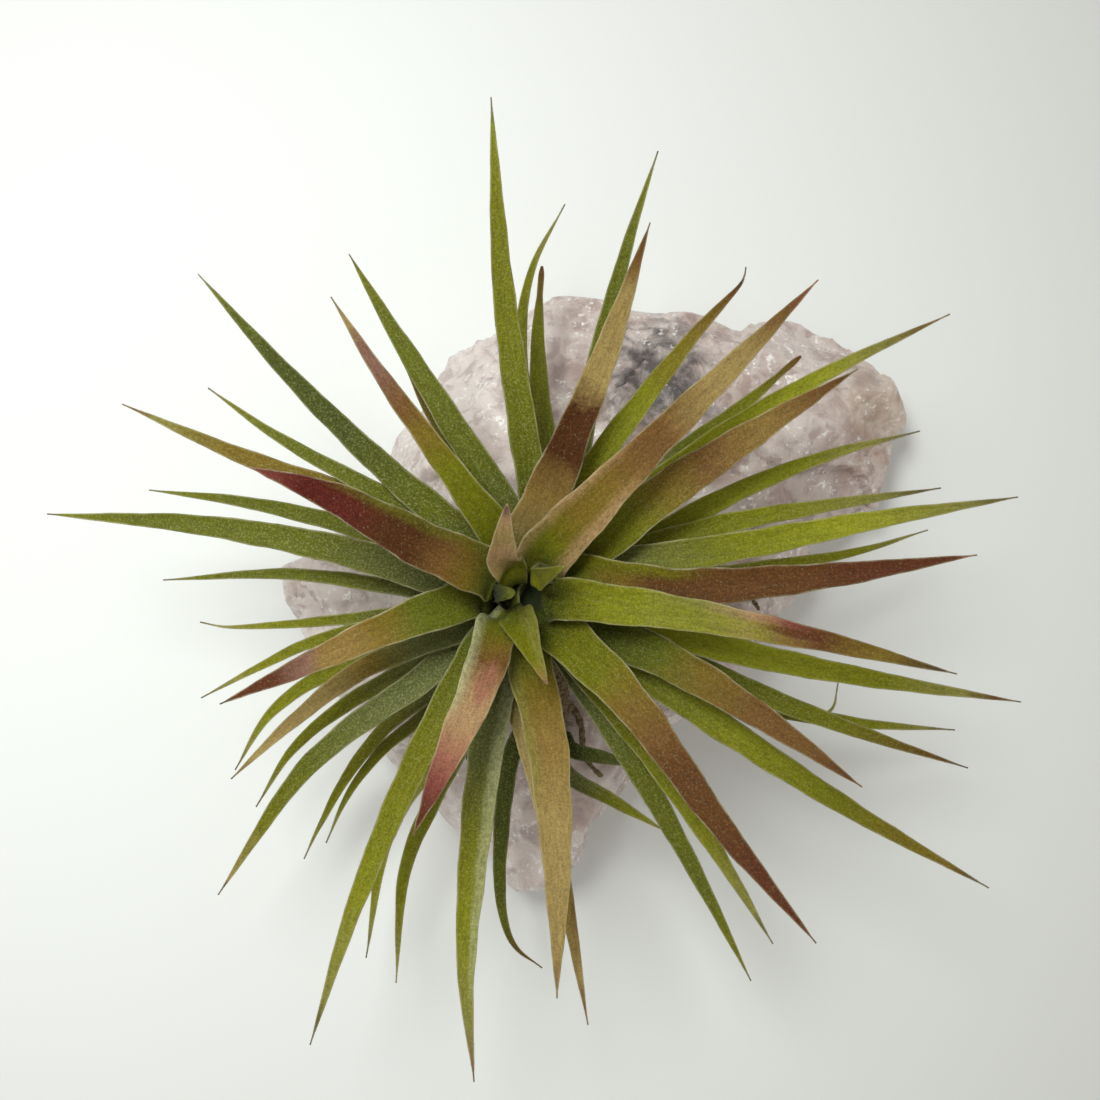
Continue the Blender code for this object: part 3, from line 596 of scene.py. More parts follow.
class Blade:
    """The form of one leaf, read from its solid as smooth curves along its length."""

    def __init__(self, name):
        rings, apex = leaf_rings(name)
        spread = np.linalg.norm(rings[1:10, :, None] - rings[1:10, None], axis=3).sum(0)
        one, other = np.unravel_index(spread.argmax(), spread.shape)
        low = (one + 1) % 6 if (other - one) % 6 == 2 else (one - 1) % 6
        keel = (low + 3) % 6
        onward = rings[10, low] - rings[1, low]
        leftward = np.cross((0.0, 0.0, 1.0), onward)
        if (rings[5, one] - rings[5, other]) @ leftward < 0:
            one, other = other, one
        tracks = {}
        for word, corner in (("low", low), ("left", one), ("right", other), ("keel", keel)):
            tracks[word] = np.vstack([rings[:, corner], apex])
        half = (tracks["left"] - tracks["right"]) / 2
        rise = (tracks["left"] + tracks["right"]) / 2 - tracks["low"]
        depth = np.linalg.norm(tracks["keel"] - tracks["low"], axis=1)
        if np.linalg.norm(half[0]) < np.linalg.norm(half[1]):
            half[0] *= np.linalg.norm(half[1]) / np.linalg.norm(half[0])
        steps = np.linalg.norm(np.diff(tracks["low"], axis=0), axis=1)
        lengths = np.concatenate([[0.0], np.cumsum(steps)])
        self.length = lengths[-1]
        knots = lengths / self.length
        half[-1] = half[-2] * APEX_SHARE
        depth[-1] = depth[-2] * APEX_SHARE
        self.read = smooth_curve(knots, np.hstack([tracks["low"], half, rise, depth[:, None]]))
        widths = np.linalg.norm(half, axis=1)
        middle = (knots > MIDDLE_STRETCH[0]) & (knots < MIDDLE_STRETCH[1])
        self.slim = np.median(widths[middle] / (1.0 - knots[middle] ** GROWN_TAPER))
        self.blunt = "blunt" in name
        self.old = name.startswith("old_leaf")
        self.inner = HEART_GAPS.get(name[:10], 0.0)
        self.straight = STRAIGHT_BASES.get(name, 0.0)
        self.young = name.startswith("heart_leaf")
        self.seed = sum(ord(letter) * (place + 1) for place, letter in enumerate(name)) % 997
        self.root = tracks["low"][0]

    def section(self, parts):
        """Middle, half width, rise of the margins and depth at parts of the length."""
        parts = np.atleast_1d(np.asarray(parts, float))
        found = self.read(parts)
        middle, half, rise, depth = found[:, :3], found[:, 3:6], found[:, 6:9], found[:, 9]
        width = np.linalg.norm(half, axis=1)
        if self.young:
            natural = self.slim * YOUNG_SWELL * (1.0 - np.clip(parts, 0.0, 1.0)) ** YOUNG_TAPER + YOUNG_POINT
            narrowing = np.minimum(natural / width, 1.0)
        else:
            end = BLUNT_END if self.blunt else POINT
            natural = np.maximum(self.slim * (1.0 - np.minimum(parts, 1.0) ** GROWN_TAPER), end)
            narrowing = np.where(parts > TAPER_START, np.minimum(natural / width, 1.0), 1.0)
        place = parts * self.length
        grown = ease(parts * 8)
        waves = [
            much * np.sin(place * fast + turn * self.seed) for turn, (much, fast) in enumerate(WAVES, 1)
        ]
        half = half * (narrowing * (1.0 + (waves[0] + waves[1]) * grown))[:, None]
        middle = middle + half * (waves[2] * grown)[:, None]
        return middle, half, rise * narrowing[:, None], depth * np.maximum(narrowing, 0.3)

    def upper(self, parts, across):
        """Places on the upper side at parts of the length, across from -1 right to 1 left."""
        middle, half, rise, _ = self.section(parts)
        across = np.atleast_1d(np.asarray(across, float))
        return middle + across[:, None] * half + (np.abs(across) ** CHANNEL)[:, None] * rise

    def sheath(self, parts, across, run):
        """Places on the base of the leaf, below its root, from parts 0 at the root to 1 at its end."""
        base = self.upper(np.zeros(len(across)), across)
        parts = np.asarray(parts, float)
        if self.old:
            line = [Vector(point) for point in LYING_STEM]
            root = Vector(self.root)
            places = [
                start + (end - start) * step / 10 for start, end in zip(line, line[1:]) for step in range(11)
            ]
            nearest = min(places, key=lambda point: (point - root).length)
            return base + (np.array(nearest) - self.root) * (OLD_REACH * parts)[:, None]
        if self.inner:
            onward = self.upper([0.03], [0.0])[0] - self.root
            level = np.hypot(*onward[:2])
            slope = np.clip(onward[2] / level, 0.0, STEEPEST)
            if self.straight:
                inward, away, reach = -onward[:2], level, self.straight
            else:
                inward = np.array([HEART[0] - self.root[0], HEART[1] - self.root[1]])
                away = np.linalg.norm(inward)
                reach = max(LEAST_REACH, away - self.inner)
            fall = slope * (YOUNG_SLOPE if self.young and not self.straight else KEPT_SLOPE)
            gone = np.sin(parts * math.pi / 2) * reach
            closer = self.root + (base - self.root) * (1.0 - BASE_NARROWING * parts)[:, None]
            closer[:, :2] += (inward / away) * gone[:, None]
            closer[:, 2] -= fall * gone + BASE_DROP * parts**3
            return closer
        eased = ease(parts)
        deep = max(run, self.root[2] - WRAP_HEIGHT)
        heights = self.root[2] - parts * deep
        centre = np.stack([*stem_at(heights, STEM_X, STEM_Y), heights], 1)
        start = self.root[:2] - stem_at(self.root[2], STEM_X, STEM_Y)
        reach = math.hypot(*start)
        bearing = math.atan2(start[1], start[0])
        width = np.linalg.norm(self.section(0.0)[1][0])
        narrow = math.asin(min(0.95, width / reach))
        wide = max(narrow, WRAP)
        inside = np.minimum(stem_at(heights, STEM_RADII)[0] - WRAP_DEPTH, reach)
        radius = reach + (inside - reach) * eased
        angle = bearing + across * (narrow + (wide - narrow) * eased)
        wrapped = centre + np.stack([np.cos(angle) * radius, np.sin(angle) * radius, 0 * radius], 1)
        wrapped[:, 2] += (base[:, 2] - self.root[2]) * (1.0 - WRAP_FLATTENING * parts)
        hanging = base.copy()
        hanging[:, 2] -= parts * deep
        return hanging + (wrapped - hanging) * ease(parts / WRAP_SWING)[:, None]

    def facing(self, parts, across):
        """Unit vectors along the blade, to its left and up from it."""
        step, aside = 0.004, 0.05
        onward = self.upper(np.minimum(parts + step, 1.0), across) - self.upper(parts - step, across)
        left = self.upper(parts, across + aside) - self.upper(parts, across - aside)
        upward = np.cross(onward, left)
        return [unit(way) for way in (onward, left, upward)]


def mask(places, start, end, soft):
    """1 between start and end with soft ends."""
    return ease((places - start) / soft + 0.5) * ease((end - places) / soft + 0.5)


def add_values(mesh, name, values):
    """Keep a vector for each corner of a mesh, for its material."""
    attribute = mesh.attributes.new(name, "FLOAT_VECTOR", "POINT")
    attribute.data.foreach_set("vector", np.ascontiguousarray(values, dtype=np.float32).ravel())


def blade_values(blade, look, parts, across):
    """What a leaf's material reads at each corner: its place, its tones and its kind."""
    half = np.linalg.norm(blade.section(np.clip(parts, 0.0, 1.0))[1], axis=1)
    band = np.zeros(len(parts))
    for side, width, start, end, strength in look.bands:
        inner = ease((side * across - (1.0 - 2.0 * width)) / 0.5 + 0.5)
        band = np.maximum(band, strength * inner * mask(parts, start, end, BAND_ENDS))
    patch = np.zeros(len(parts))
    for part, side, long, wide, strength in look.patches:
        away = np.hypot((parts - part) / long, (across - side) / wide)
        patch = np.maximum(patch, strength * ease(1.5 - away))
    scaly = look.flecks * (1.0 - TIP_BARENESS * ease(parts / BARE_FROM))
    place = np.stack([across * half, parts * blade.length, (1.0 - np.abs(across)) * half], 1)
    kind = np.stack([scaly, np.full(len(parts), blade.seed / 997), 0 * parts], 1)
    return place, np.stack([parts, band, patch], 1), kind


def blade_mesh(blade, name, look, run):
    """The blade and base of a leaf as one closed shell."""
    deselect()
    bpy.ops.mesh.primitive_grid_add(x_subdivisions=ACROSS, y_subdivisions=ROWS, size=2.0)
    piece = bpy.context.active_object
    piece.name = name
    mesh = piece.data
    corners = corners_of(mesh) * MM
    across = -corners[:, 0]
    row = np.round((corners[:, 1] + 1.0) / 2.0 * ROWS)
    parts = (row - SHEATH_ROWS) / np.where(row >= SHEATH_ROWS, BLADE_ROWS, SHEATH_ROWS)
    on_blade = parts >= 0
    places = np.zeros((len(parts), 3))
    places[on_blade] = blade.upper(parts[on_blade], across[on_blade])
    places[~on_blade] = blade.sheath(-parts[~on_blade], across[~on_blade], run)
    move_corners(mesh, places)
    middle_depth = blade.section(np.clip(parts, 0.0, 1.0))[3]
    depth = middle_depth * (1.0 - MARGIN_THINNING * np.abs(across) ** MARGIN_POWER)
    depth = np.where(on_blade, depth, depth + (BASE_THICKNESS - depth) * ease(-parts * 2.5))
    thickest = depth.max()
    group = piece.vertex_groups.new(name="depth")
    for index, value in enumerate(depth / thickest):
        group.add([index], float(value), "REPLACE")
    # A base takes its tones from just before the root
    drawn = np.where(on_blade, parts, parts * 0.15)
    values = blade_values(blade, look, drawn, across)
    for word, value in zip(VALUES, values):
        add_values(mesh, word, value)
    add_values(mesh, "blade_grid", np.stack([row, across, 0 * row], 1))
    count = len(parts)
    apply_modifier(
        piece,
        "SOLIDIFY",
        thickness=thickest * MM,
        offset=-1.0,
        vertex_group="depth",
        thickness_vertex_group=0.05,
    )
    lay_out(piece.data, count)
    return piece


def flat_place(row, strip, lane, out):
    """Where a place lies in a leaf's flat map: by its row along a strip, and out from a lane's middle."""
    along = LANE_END + (1.0 - 2.0 * LANE_END) * (row - strip * STRIP_ROWS + 0.5) / (STRIP_ROWS + 1.0)
    return along, LANES / (2 * STRIPS) * (lane + 0.5 + out)


def vectors_of(mesh, name):
    """A vector attribute of a mesh as rows."""
    values = np.zeros(len(mesh.vertices) * 3, np.float32)
    mesh.attributes[name].data.foreach_get("vector", values)
    return values.reshape(-1, 3)


def lay_out(mesh, count):
    """Flat map of a leaf: its two sides as strips, cut across so that they fill the square."""
    grid = vectors_of(mesh, "blade_grid")
    kind = vectors_of(mesh, "blade_kind")
    below = np.arange(len(mesh.vertices)) >= count
    kind[:, 2] = below
    mesh.attributes["blade_kind"].data.foreach_set("vector", kind.ravel())
    while mesh.uv_layers:
        mesh.uv_layers.remove(mesh.uv_layers[0])
    layer = mesh.uv_layers.new(name="OFBake")
    flat = np.zeros((len(mesh.loops), 2), np.float32)
    for face in mesh.polygons:
        corners = list(face.vertices)
        under = below[corners]
        strip = int(grid[corners, 0].min() // STRIP_ROWS)
        lane = 2 * strip + (1 if under.all() else 0)
        for loop, corner in zip(face.loop_indices, corners):
            row, across = grid[corner, 0], grid[corner, 1]
            out = across * FACE_REACH
            if under.any() and not under.all() and below[corner]:
                # The rim's lower edge lies just beyond its upper one
                out = across * RIM_REACH if abs(across) > 0.99 else out
                row += 0.4 if row >= ROWS else (-0.4 if row <= 0 else 0.0)
            flat[loop] = flat_place(row, strip, lane, out)
    layer.data.foreach_set("uv", flat.ravel())
    mesh.attributes.remove(mesh.attributes["blade_grid"])


def scale_form():
    """One scale: a flat three-sided spike, 1 long, as corners and faces."""
    deselect()
    bpy.ops.mesh.primitive_cone_add(vertices=3, radius1=0.5, radius2=0.0, depth=1.0)
    piece = bpy.context.active_object
    mesh = piece.data
    corners = corners_of(mesh) * MM
    corners[:, 2] += 0.5
    faces = [tuple(face.vertices) for face in mesh.polygons]
    discard(piece)
    return corners, faces


def scales_mesh(blade, name, look, form, sizes, rng):
    """The scales of a leaf: a fringe along both margins and flecks on the upper side."""
    fringe, gap, lying = sizes
    # The fringe leans out and on toward the tip
    per_side = int(blade.length / gap)
    parts = np.concatenate([np.linspace(0.0, 0.985, per_side)] * 2)
    parts = np.clip(parts + rng.uniform(-0.4, 0.4, len(parts)) * gap / blade.length, 0.0, 0.99)
    sides = np.repeat([1.0, -1.0], per_side)
    inset = sides * (1.0 - rng.uniform(0.0, 0.04, len(parts)))
    onward, left, upward = blade.facing(parts, inset)
    lean = rng.uniform(*FRINGE_LEAN, len(parts))[:, None]
    tilt = rng.normal(*FRINGE_TILT, len(parts))[:, None]
    way = left * sides[:, None] + onward * lean + upward * tilt
    long = fringe * rng.uniform(*FRINGE_LENGTHS, len(parts)) * (0.55 + 0.45 * (1.0 - parts))
    sets = [(blade.upper(parts, inset) - upward * 0.02, way, upward, parts, inset, long, *FRINGE_FORM)]
    # The flecks lie nearly flat and point on toward the tip
    count = int(blade.length * max(look.flecks - FLECKS_FROM, 0.0) * FLECKS_PER_MM)
    parts = rng.uniform(0.0, 0.95, count) ** 1.15
    across = rng.uniform(-0.94, 0.94, count)
    onward, left, upward = blade.facing(parts, across)
    way = onward + left * rng.normal(0.0, FLECK_TURN, count)[:, None] + upward * FLECK_LIFT
    long = lying * rng.uniform(*FLECK_LENGTHS, count)
    sets.append((blade.upper(parts, across), way, upward, parts, across, long, *FLECK_FORM))
    corners, corner_faces = form
    kinds = len(corners)
    points, faces, gathered, spots, start = [], [], [], [], 0
    for roots, way, up, parts, across, long, wide, thick in sets:
        way = unit(way)
        beside = unit(np.cross(up, way))
        up = np.cross(way, beside)
        shapes = [beside * x * wide + up * y * thick + way * z for x, y, z in corners]
        points.append(np.stack([roots + shape * long[:, None] for shape in shapes], 1).reshape(-1, 3))
        first = start + np.arange(len(parts))[:, None] * kinds
        for face in corner_faces:
            faces += (first + np.array(face)).tolist()
        start += len(parts) * kinds
        found = blade_values(blade, look, parts, across)
        found[0][:, 2] = np.where(np.abs(across) > 0.95, rng.uniform(0.0, 0.2, len(parts)), found[0][:, 2])
        gathered.append([np.repeat(value, kinds, axis=0) for value in found])
        rows = SHEATH_ROWS + parts * BLADE_ROWS
        strip = np.floor(np.minimum(rows, ROWS - 1) / STRIP_ROWS)
        spots.append(np.stack(flat_place(rows, strip, 2 * strip, SCALE_REACH * across), 1))
    mesh = bpy.data.meshes.new(name)
    mesh.from_pydata((np.vstack(points) * MM).tolist(), [], faces)
    for word, kept in zip(VALUES, zip(*gathered)):
        add_values(mesh, word, np.vstack(kept))
    layer = mesh.uv_layers.new(name="OFBake")
    owners = np.zeros(len(mesh.loops), np.int32)
    mesh.loops.foreach_get("vertex_index", owners)
    turns = np.arange(len(mesh.loops)) * 2.1
    flat = np.vstack(spots)[owners // kinds] + 0.002 * np.stack([np.cos(turns), np.sin(turns)], 1)
    layer.data.foreach_set("uv", flat.astype(np.float32).ravel())
    lying = np.arange(len(mesh.polygons)) >= len(spots[0]) * len(corner_faces)
    mesh.polygons.foreach_set("material_index", lying.astype(np.int32))
    return new_piece(name, mesh)


def join(piece, other):
    """Join another piece to a piece."""
    pick(piece)
    other.select_set(True)
    bpy.ops.object.join()


def connect(node, inputs):
    """Set a node's inputs, by name or in order, to values, sockets or the first outputs of nodes."""
    for name, value in inputs.items() if isinstance(inputs, dict) else enumerate(inputs):
        if isinstance(value, bpy.types.Node):
            value = value.outputs[0]
        if isinstance(value, bpy.types.NodeSocket):
            node.id_data.links.new(value, node.inputs[name])
        else:
            node.inputs[name].default_value = value


def add_node(tree, kind, inputs=(), **settings):
    """Add a shader node with its settings, and its inputs as values or as links."""
    made = tree.nodes.new("ShaderNode" + kind)
    for name, value in settings.items():
        setattr(made, name, value)
    connect(made, inputs)
    return made


def start_material(name):
    """A new material, its Principled shader, what adds a node to it, and object coordinates in mm."""
    material = bpy.data.materials.new(name)
    material.use_nodes = True
    tree = material.node_tree
    place = add_node(tree, "TexCoord").outputs["Object"]
    where = add_node(tree, "VectorMath", {0: place, 3: 1.0 / MM}, operation="SCALE")
    return material, tree.nodes["Principled BSDF"], partial(add_node, tree), where


def tones_of(colours):
    """The colours of a group with an alpha, by name."""
    return {word: (*getattr(colours, word), 1.0) for word in type(colours).__annotations__}


def leaf_material(name, look, colours):
    """Living leaf tissue, waxy and matte under silvery scales, so the light on it is soft."""
    material, shader, add, where = start_material(name)
    tone = tones_of(colours)
    (_, along_mm, margin_mm), (part, band, patch), (scaly, seed, under) = [
        add("SeparateXYZ", [add("Attribute", attribute_name=word).outputs[1]]).outputs
        for word in VALUES
    ]
    across_mm = along_mm.node.outputs[0]
    # Clouds of 4.5 mm, mottle of 0.5 mm and grain of 0.2 mm
    clouds = add("TexNoise", {"Vector": where, "Scale": 0.22, "Detail": 2.0})
    mottle = add("TexNoise", {"Vector": where, "Scale": 2.0, "Detail": 3.0, "Roughness": 0.6})
    grain = add("TexNoise", {"Vector": where, "Scale": 5.0, "Detail": 3.0, "Roughness": 0.7})
    # Fibres 0.2 mm wide and 2 mm long follow the blade
    fibre_place = {
        0: add("Math", [across_mm, 4.5], operation="MULTIPLY"),
        1: add("Math", [along_mm, 0.5], operation="MULTIPLY"),
        2: add("Math", [seed, 50.0], operation="MULTIPLY"),
    }
    fibres = add("TexNoise", {"Vector": add("CombineXYZ", fibre_place), "Scale": 1.0, "Detail": 2.0})
    # The tones wander a little along the blade
    placed = part
    for pattern, much in ((clouds, 0.12), (mottle, 0.06)):
        shift = add("Math", [pattern, much, -much / 2], operation="MULTIPLY_ADD")
        placed = add("Math", [placed, shift], operation="ADD")
    ramp = add("ValToRGB", [placed])
    elements = ramp.color_ramp.elements
    for index, stop in enumerate(look.tones.split(",")):
        word, at = stop.split()
        element = elements[index] if index < 2 else elements.new(float(at))
        element.position = float(at)
        element.color = tone[word]
    base = ramp.outputs[0]
    for word, share in ((look.band, band), (look.patch, patch)):
        if word:
            uneven = add("MapRange", [mottle, 0.3, 0.6, 0.6, 1.0])
            share = add("Math", [share, uneven], operation="MULTIPLY", use_clamp=True)
            base = add("Mix", {0: share, 6: base, 7: tone[word]}, data_type="RGBA").outputs[2]
    shading = add("MapRange", [mottle, 0.25, 0.75, 0.86, 1.10])
    for pattern, low, high, much in ((fibres, 0.25, 0.75, 0.18), (grain, 0.35, 0.65, 0.22)):
        lighter = add("MapRange", [pattern, low, high, -much, much])
        shading = add("Math", [shading, lighter], operation="ADD")
    base = add("VectorMath", {0: base, 3: shading}, operation="SCALE").outputs[0]
    # Below the root the base is painted darker, as painted shade deep in the heart, and its outer side is dry
    # and papery
    inner = add("MapRange", [part, -0.15, -0.05, 1.0, 0.0])
    papery = add("Math", [inner, under], operation="MULTIPLY")
    covers = []
    for share, most, word in ((inner, 0.7, "heart_dark"), (under, 0.4, "grey_green"), (papery, 0.8, "straw")):
        covers.append((add("Math", [share, most], operation="MULTIPLY"), word))
    # Silvery scales where the leaf is scaly: real ones are 0.1 mm apart, too fine to show, so these are
    # 0.35 mm apart with finer dust between them
    cells = add("TexVoronoi", {"Vector": where, "Scale": 2.9, "Randomness": 1.0})
    chance = add("SeparateXYZ", [cells.outputs["Color"]])
    chosen = add("Math", [chance, scaly], operation="LESS_THAN")
    spot = add("MapRange", [cells, 0.12, 0.36, 1.0, 0.0])
    dots = add("Math", [spot, chosen], operation="MULTIPLY")
    faint = add("Math", [dots, 0.2], operation="MULTIPLY")
    dust = add("MapRange", [grain, 0.54, 0.66, 0.0, 0.5])
    dust = add("Math", [dust, scaly], operation="MULTIPLY")
    covers.append((add("Math", [faint, dust], operation="MAXIMUM"), "silver"))
    # A felt of scales 0.1 mm wide along the margins, ragged and worn off in places
    ragged = add("MapRange", [grain, 0.35, 0.65, -0.09, 0.09])
    ragged = add("Math", [margin_mm, ragged], operation="ADD")
    felt = add("MapRange", [ragged, 0.02, 0.12, look.rim, 0.0])
    edge = add("CombineXYZ", [add("Math", [along_mm, 0.45], operation="MULTIPLY"), seed])
    worn = add("TexNoise", {"Vector": edge, "Scale": 1.0, "Detail": 3.0})
    for pattern in (worn, grain):
        left = add("MapRange", [pattern, 0.38, 0.6, 0.3, 1.0])
        felt = add("Math", [felt, left], operation="MULTIPLY")
    covers.append((felt, "cream"))
    for share, word in covers:
        base = add("Mix", {0: share, 6: base, 7: tone[word]}, data_type="RGBA").outputs[2]
    height = add("Math", [mottle, 0.5], operation="MULTIPLY")
    for pattern, share in ((dots, 0.5), (fibres, 0.35)):
        raised = add("Math", [pattern, share], operation="MULTIPLY")
        height = add("Math", [height, raised], operation="ADD")
    connect(
        shader,
        {
            "Base Color": base,
            "Normal": add("Bump", {"Height": height, "Strength": 0.6, "Distance": 0.12 * MM}),
            "Roughness": add("MapRange", [mottle, 0.3, 0.7, 0.56, 0.72]),
            "Specular IOR Level": 0.14,
            "Sheen Weight": 0.03,
            "Sheen Roughness": 0.5,
            "Subsurface Weight": 0.08,
            "Subsurface Radius": (0.8, 1.0, 0.3),
            "Subsurface Scale": 0.4 * MM,
        },
    )
    return material


def scale_material(colours):
    """Dead papery scales filled with air, so they look silvery white."""
    material, shader, add, where = start_material("silvery leaf scales")
    tone = tones_of(colours)
    # A scale is 0.12 mm long, and its tone changes every 0.3 mm, so that a few neighbours share one
    spots = add("TexNoise", {"Vector": where, "Scale": 3.0, "Detail": 2.0})
    share = add("MapRange", [spots, 0.35, 0.65, 0.2, 1.0])
    base = add("Mix", {0: share, 6: tone["silver"], 7: tone["pale_green"]}, data_type="RGBA").outputs[2]
    connect(shader, {"Base Color": base, "Roughness": 0.6, "Specular IOR Level": 0.3})
    return material


def add_leaves(start):
    """The leaves whose names start with a word, each as one piece."""
    sizes = bpy.context.scene.air_plant_sizes
    colours = bpy.context.scene.air_plant_leaves
    form = scale_form()
    scales = bpy.data.materials.get("silvery leaf scales") or scale_material(colours)
    measures = (sizes.fringe / MM, sizes.fringe_gap / MM, sizes.scale / MM)
    for name in [name for name in LOOKS if name.startswith(start)]:
        look = LOOKS[name]
        blade = Blade(name)
        inner = name.startswith(("inner", "heart"))
        fringe = (measures[0] * (INNER_FRINGE if inner else 1.0), *measures[1:])
        piece = blade_mesh(blade, "blade_of_" + name, look, sizes.sheath / MM)
        rng = np.random.default_rng(blade.seed)
        fur = scales_mesh(blade, "scales of " + name, look, form, fringe, rng)
        piece.data.materials.clear()
        piece.data.materials.append(material_for(look, name, colours))
        piece.data.materials.append(scales)
        fur.data.materials.append(piece.data.materials[0])
        fur.data.materials.append(scales)
        join(piece, fur)
        pick(piece)
        bpy.ops.object.shade_smooth()
        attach(piece, "root")
        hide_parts(name)


def material_for(look, name, colours):
    """The material of a look, made once for all the leaves that share it."""
    kinds = {"shaded": SHADED, "speckled": SPECKLED, "bright": BRIGHT, "light": LIGHT}
    shared = [word + " leaf skin" for word, kind in kinds.items() if look is kind]
    title = shared[0] if shared else "leaf skin of " + name
    return bpy.data.materials.get(title) or leaf_material(title, look, colours)


def broken_faces(points, normals, seeds, tilts, limit, soft):
    """How far points move along their normals onto the broken faces round the two nearest seeds."""
    shifts = np.zeros(len(points))
    for start in range(0, len(points), BATCH):
        here = slice(start, start + BATCH)
        away = np.linalg.norm(points[here, None] - seeds[None], axis=2)
        order = np.argsort(away, axis=1)[:, :2]
        rows = np.arange(len(order))
        heights = []
        for rank in (0, 1):
            seed = order[:, rank]
            tilt = tilts[seed]
            tilt = tilt - normals[here] * (tilt * normals[here]).sum(1)[:, None]
            heights.append(((points[here] - seeds[seed]) * tilt).sum(1))
        lead = away[rows, order[:, 1]] - away[rows, order[:, 0]]
        share = 0.5 + 0.5 * ease(lead / soft)
        shifts[here] = heights[0] * share + heights[1] * (1.0 - share)
    return np.clip(shifts, -limit, limit)


def add_stone():
    """The lump of quartz with its broken faces."""
    sizes = bpy.context.scene.air_plant_sizes
    piece = merged_copy("rose_quartz", "rough_rose_quartz")
    apply_modifier(piece, "REMESH", mode="VOXEL", voxel_size=sizes.stone_grain, use_smooth_shade=True)
    mesh = piece.data
    points = corners_of(mesh)
    normals = normals_of(mesh)
    rng = np.random.default_rng(7)
    shift = np.full(len(points), -STONE_SINK)
    for count, slope, limit, soft in STONE_FACETS:
        seeds = points[rng.choice(len(points), count, replace=False)]
        shift += broken_faces(points, normals, seeds, rng.normal(0.0, slope, seeds.shape), limit, soft)
    rough = [noise.noise(Vector(point) * 0.9) + 0.5 * noise.noise(Vector(point) * 2.2) for point in points]
    shift = np.minimum(shift + STONE_ROUGHNESS * np.array(rough), STONE_RISE)
    under = (normals[:, 2] < -0.5) | (points[:, 2] < STONE_UNDERSIDE)
    shift[under] = np.minimum(shift[under], 0.0) * 0.6
    shift[points[:, 2] < STONE_FOOT] = 0.0
    moved = points + normals * shift[:, None]
    moved[:, 2] = np.maximum(moved[:, 2], 0.0)
    move_corners(mesh, moved)
    pick(piece)
    bpy.ops.object.shade_smooth_by_angle(angle=STONE_CREASE)
    piece.data.materials.append(stone_material(bpy.context.scene.air_plant_stone))
    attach(piece, "root")
    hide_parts("rose_quartz")


def stone_material(colours):
    """Raw rose quartz broken by hand: waxy and half clear, with cloudy veins and painted highlights on its
    broken faces.
    """
    material, shader, add, where = start_material("raw rose quartz")
    tone = tones_of(colours)
    # Milky clouds of 8 mm, darker ones of 2 mm and grain of 0.7 mm
    broad = add("TexNoise", {"Vector": where, "Scale": 0.12, "Detail": 3.0, "Roughness": 0.5})
    shape = {"Vector": where, "Detail": 4.0, "Roughness": 0.6}
    cloud = add("TexNoise", {**shape, "Scale": 0.5, "Distortion": 0.5})
    grain = add("TexNoise", {**shape, "Scale": 1.5})
    # Painted light: the stone is painted milkier toward its left end, where the light falls on it, on top of
    # its real milky clouds
    leftward = add("MapRange", [add("SeparateXYZ", [where]), -24.0, 6.0, 0.6, 0.0])
    milk_and_painted_light = add("Math", [broad, leftward], operation="ADD")
    # Milky veins about 6 mm apart, bent by the clouds
    bent = add("VectorMath", {0: cloud.outputs["Color"], 3: 5.0}, operation="SCALE")
    bent = add("VectorMath", [where, bent], operation="ADD")
    cells = add("TexVoronoi", {"Vector": bent, "Scale": 0.17}, feature="DISTANCE_TO_EDGE")
    # Painted highlights up to 0.8 mm long, for light glinting off broken faces, in groups about 4 mm across
    highlight_groups = add("TexNoise", {"Vector": where, "Scale": 0.24, "Detail": 2.0})
    highlight_groups = add("MapRange", [highlight_groups, 0.45, 0.57, 0.1, 1.0])
    highlight_sparks = add("TexNoise", {"Vector": where, "Scale": 1.3, "Detail": 4.0, "Roughness": 0.68})
    highlight_sparks = add("MapRange", [highlight_sparks, 0.555, 0.65, 0.0, 1.0])
    painted_glints = add("Math", [highlight_sparks, highlight_groups], operation="MULTIPLY")
    covers = [
        (add("MapRange", [milk_and_painted_light, 0.42, 0.72]), "milk"),
        (add("MapRange", [cloud, 0.54, 0.40, 0.0, 0.55]), "shade"),
        (add("MapRange", [cells, 0.02, 0.16, 0.55, 0.0]), "milk"),
        (painted_glints, "painted_highlight"),
    ]
    # The smoky patch, with the painted highlights left showing in it, and the stained corner
    clear = add("MapRange", [painted_glints, 0.2, 0.9, 1.0, 0.25])
    for word, place, size, pattern, uneven, near, far, most, left in (
        ("smoke", SMOKE_PLACE, SMOKE_SIZE, cloud, 0.4, 0.3, 1.1, 0.85, clear),
        ("rust", RUST_PLACE, RUST_SIZE, grain, 3.0, 2.0, 7.0, 0.35, 1.0),
    ):
        away = add("VectorMath", [where, place], operation="SUBTRACT")
        away = add("VectorMath", [away, [1.0 / reach for reach in size]], operation="MULTIPLY")
        away = add("VectorMath", [away], operation="LENGTH").outputs[1]
        ragged = add("MapRange", [pattern, 0.3, 0.7, -uneven, uneven])
        ragged = add("Math", [away, ragged], operation="ADD")
        stain = add("MapRange", [ragged, near, far, most, 0.0])
        covers.append((add("Math", [stain, left], operation="MULTIPLY"), word))
    base = tone["rose"]
    for share, word in covers:
        base = add("Mix", {0: share, 6: base, 7: tone[word]}, data_type="RGBA").outputs[2]
    height = add("Math", [grain, 0.5], operation="MULTIPLY")
    clouded = add("Math", [cloud, 0.6], operation="MULTIPLY")
    height = add("Math", [height, clouded], operation="ADD")
    connect(
        shader,
        {
            "Base Color": base,
            "Roughness": add("MapRange", [grain, 0.4, 0.65, 0.5, 0.25]),
            "Normal": add("Bump", {"Height": height, "Strength": 0.6, "Distance": 0.5 * MM}),
            "IOR": 1.54,
            "Subsurface Weight": 0.55,
            "Subsurface Radius": (1.0, 0.85, 0.85),
            "Subsurface Scale": 4.0 * MM,
        },
    )
    return material


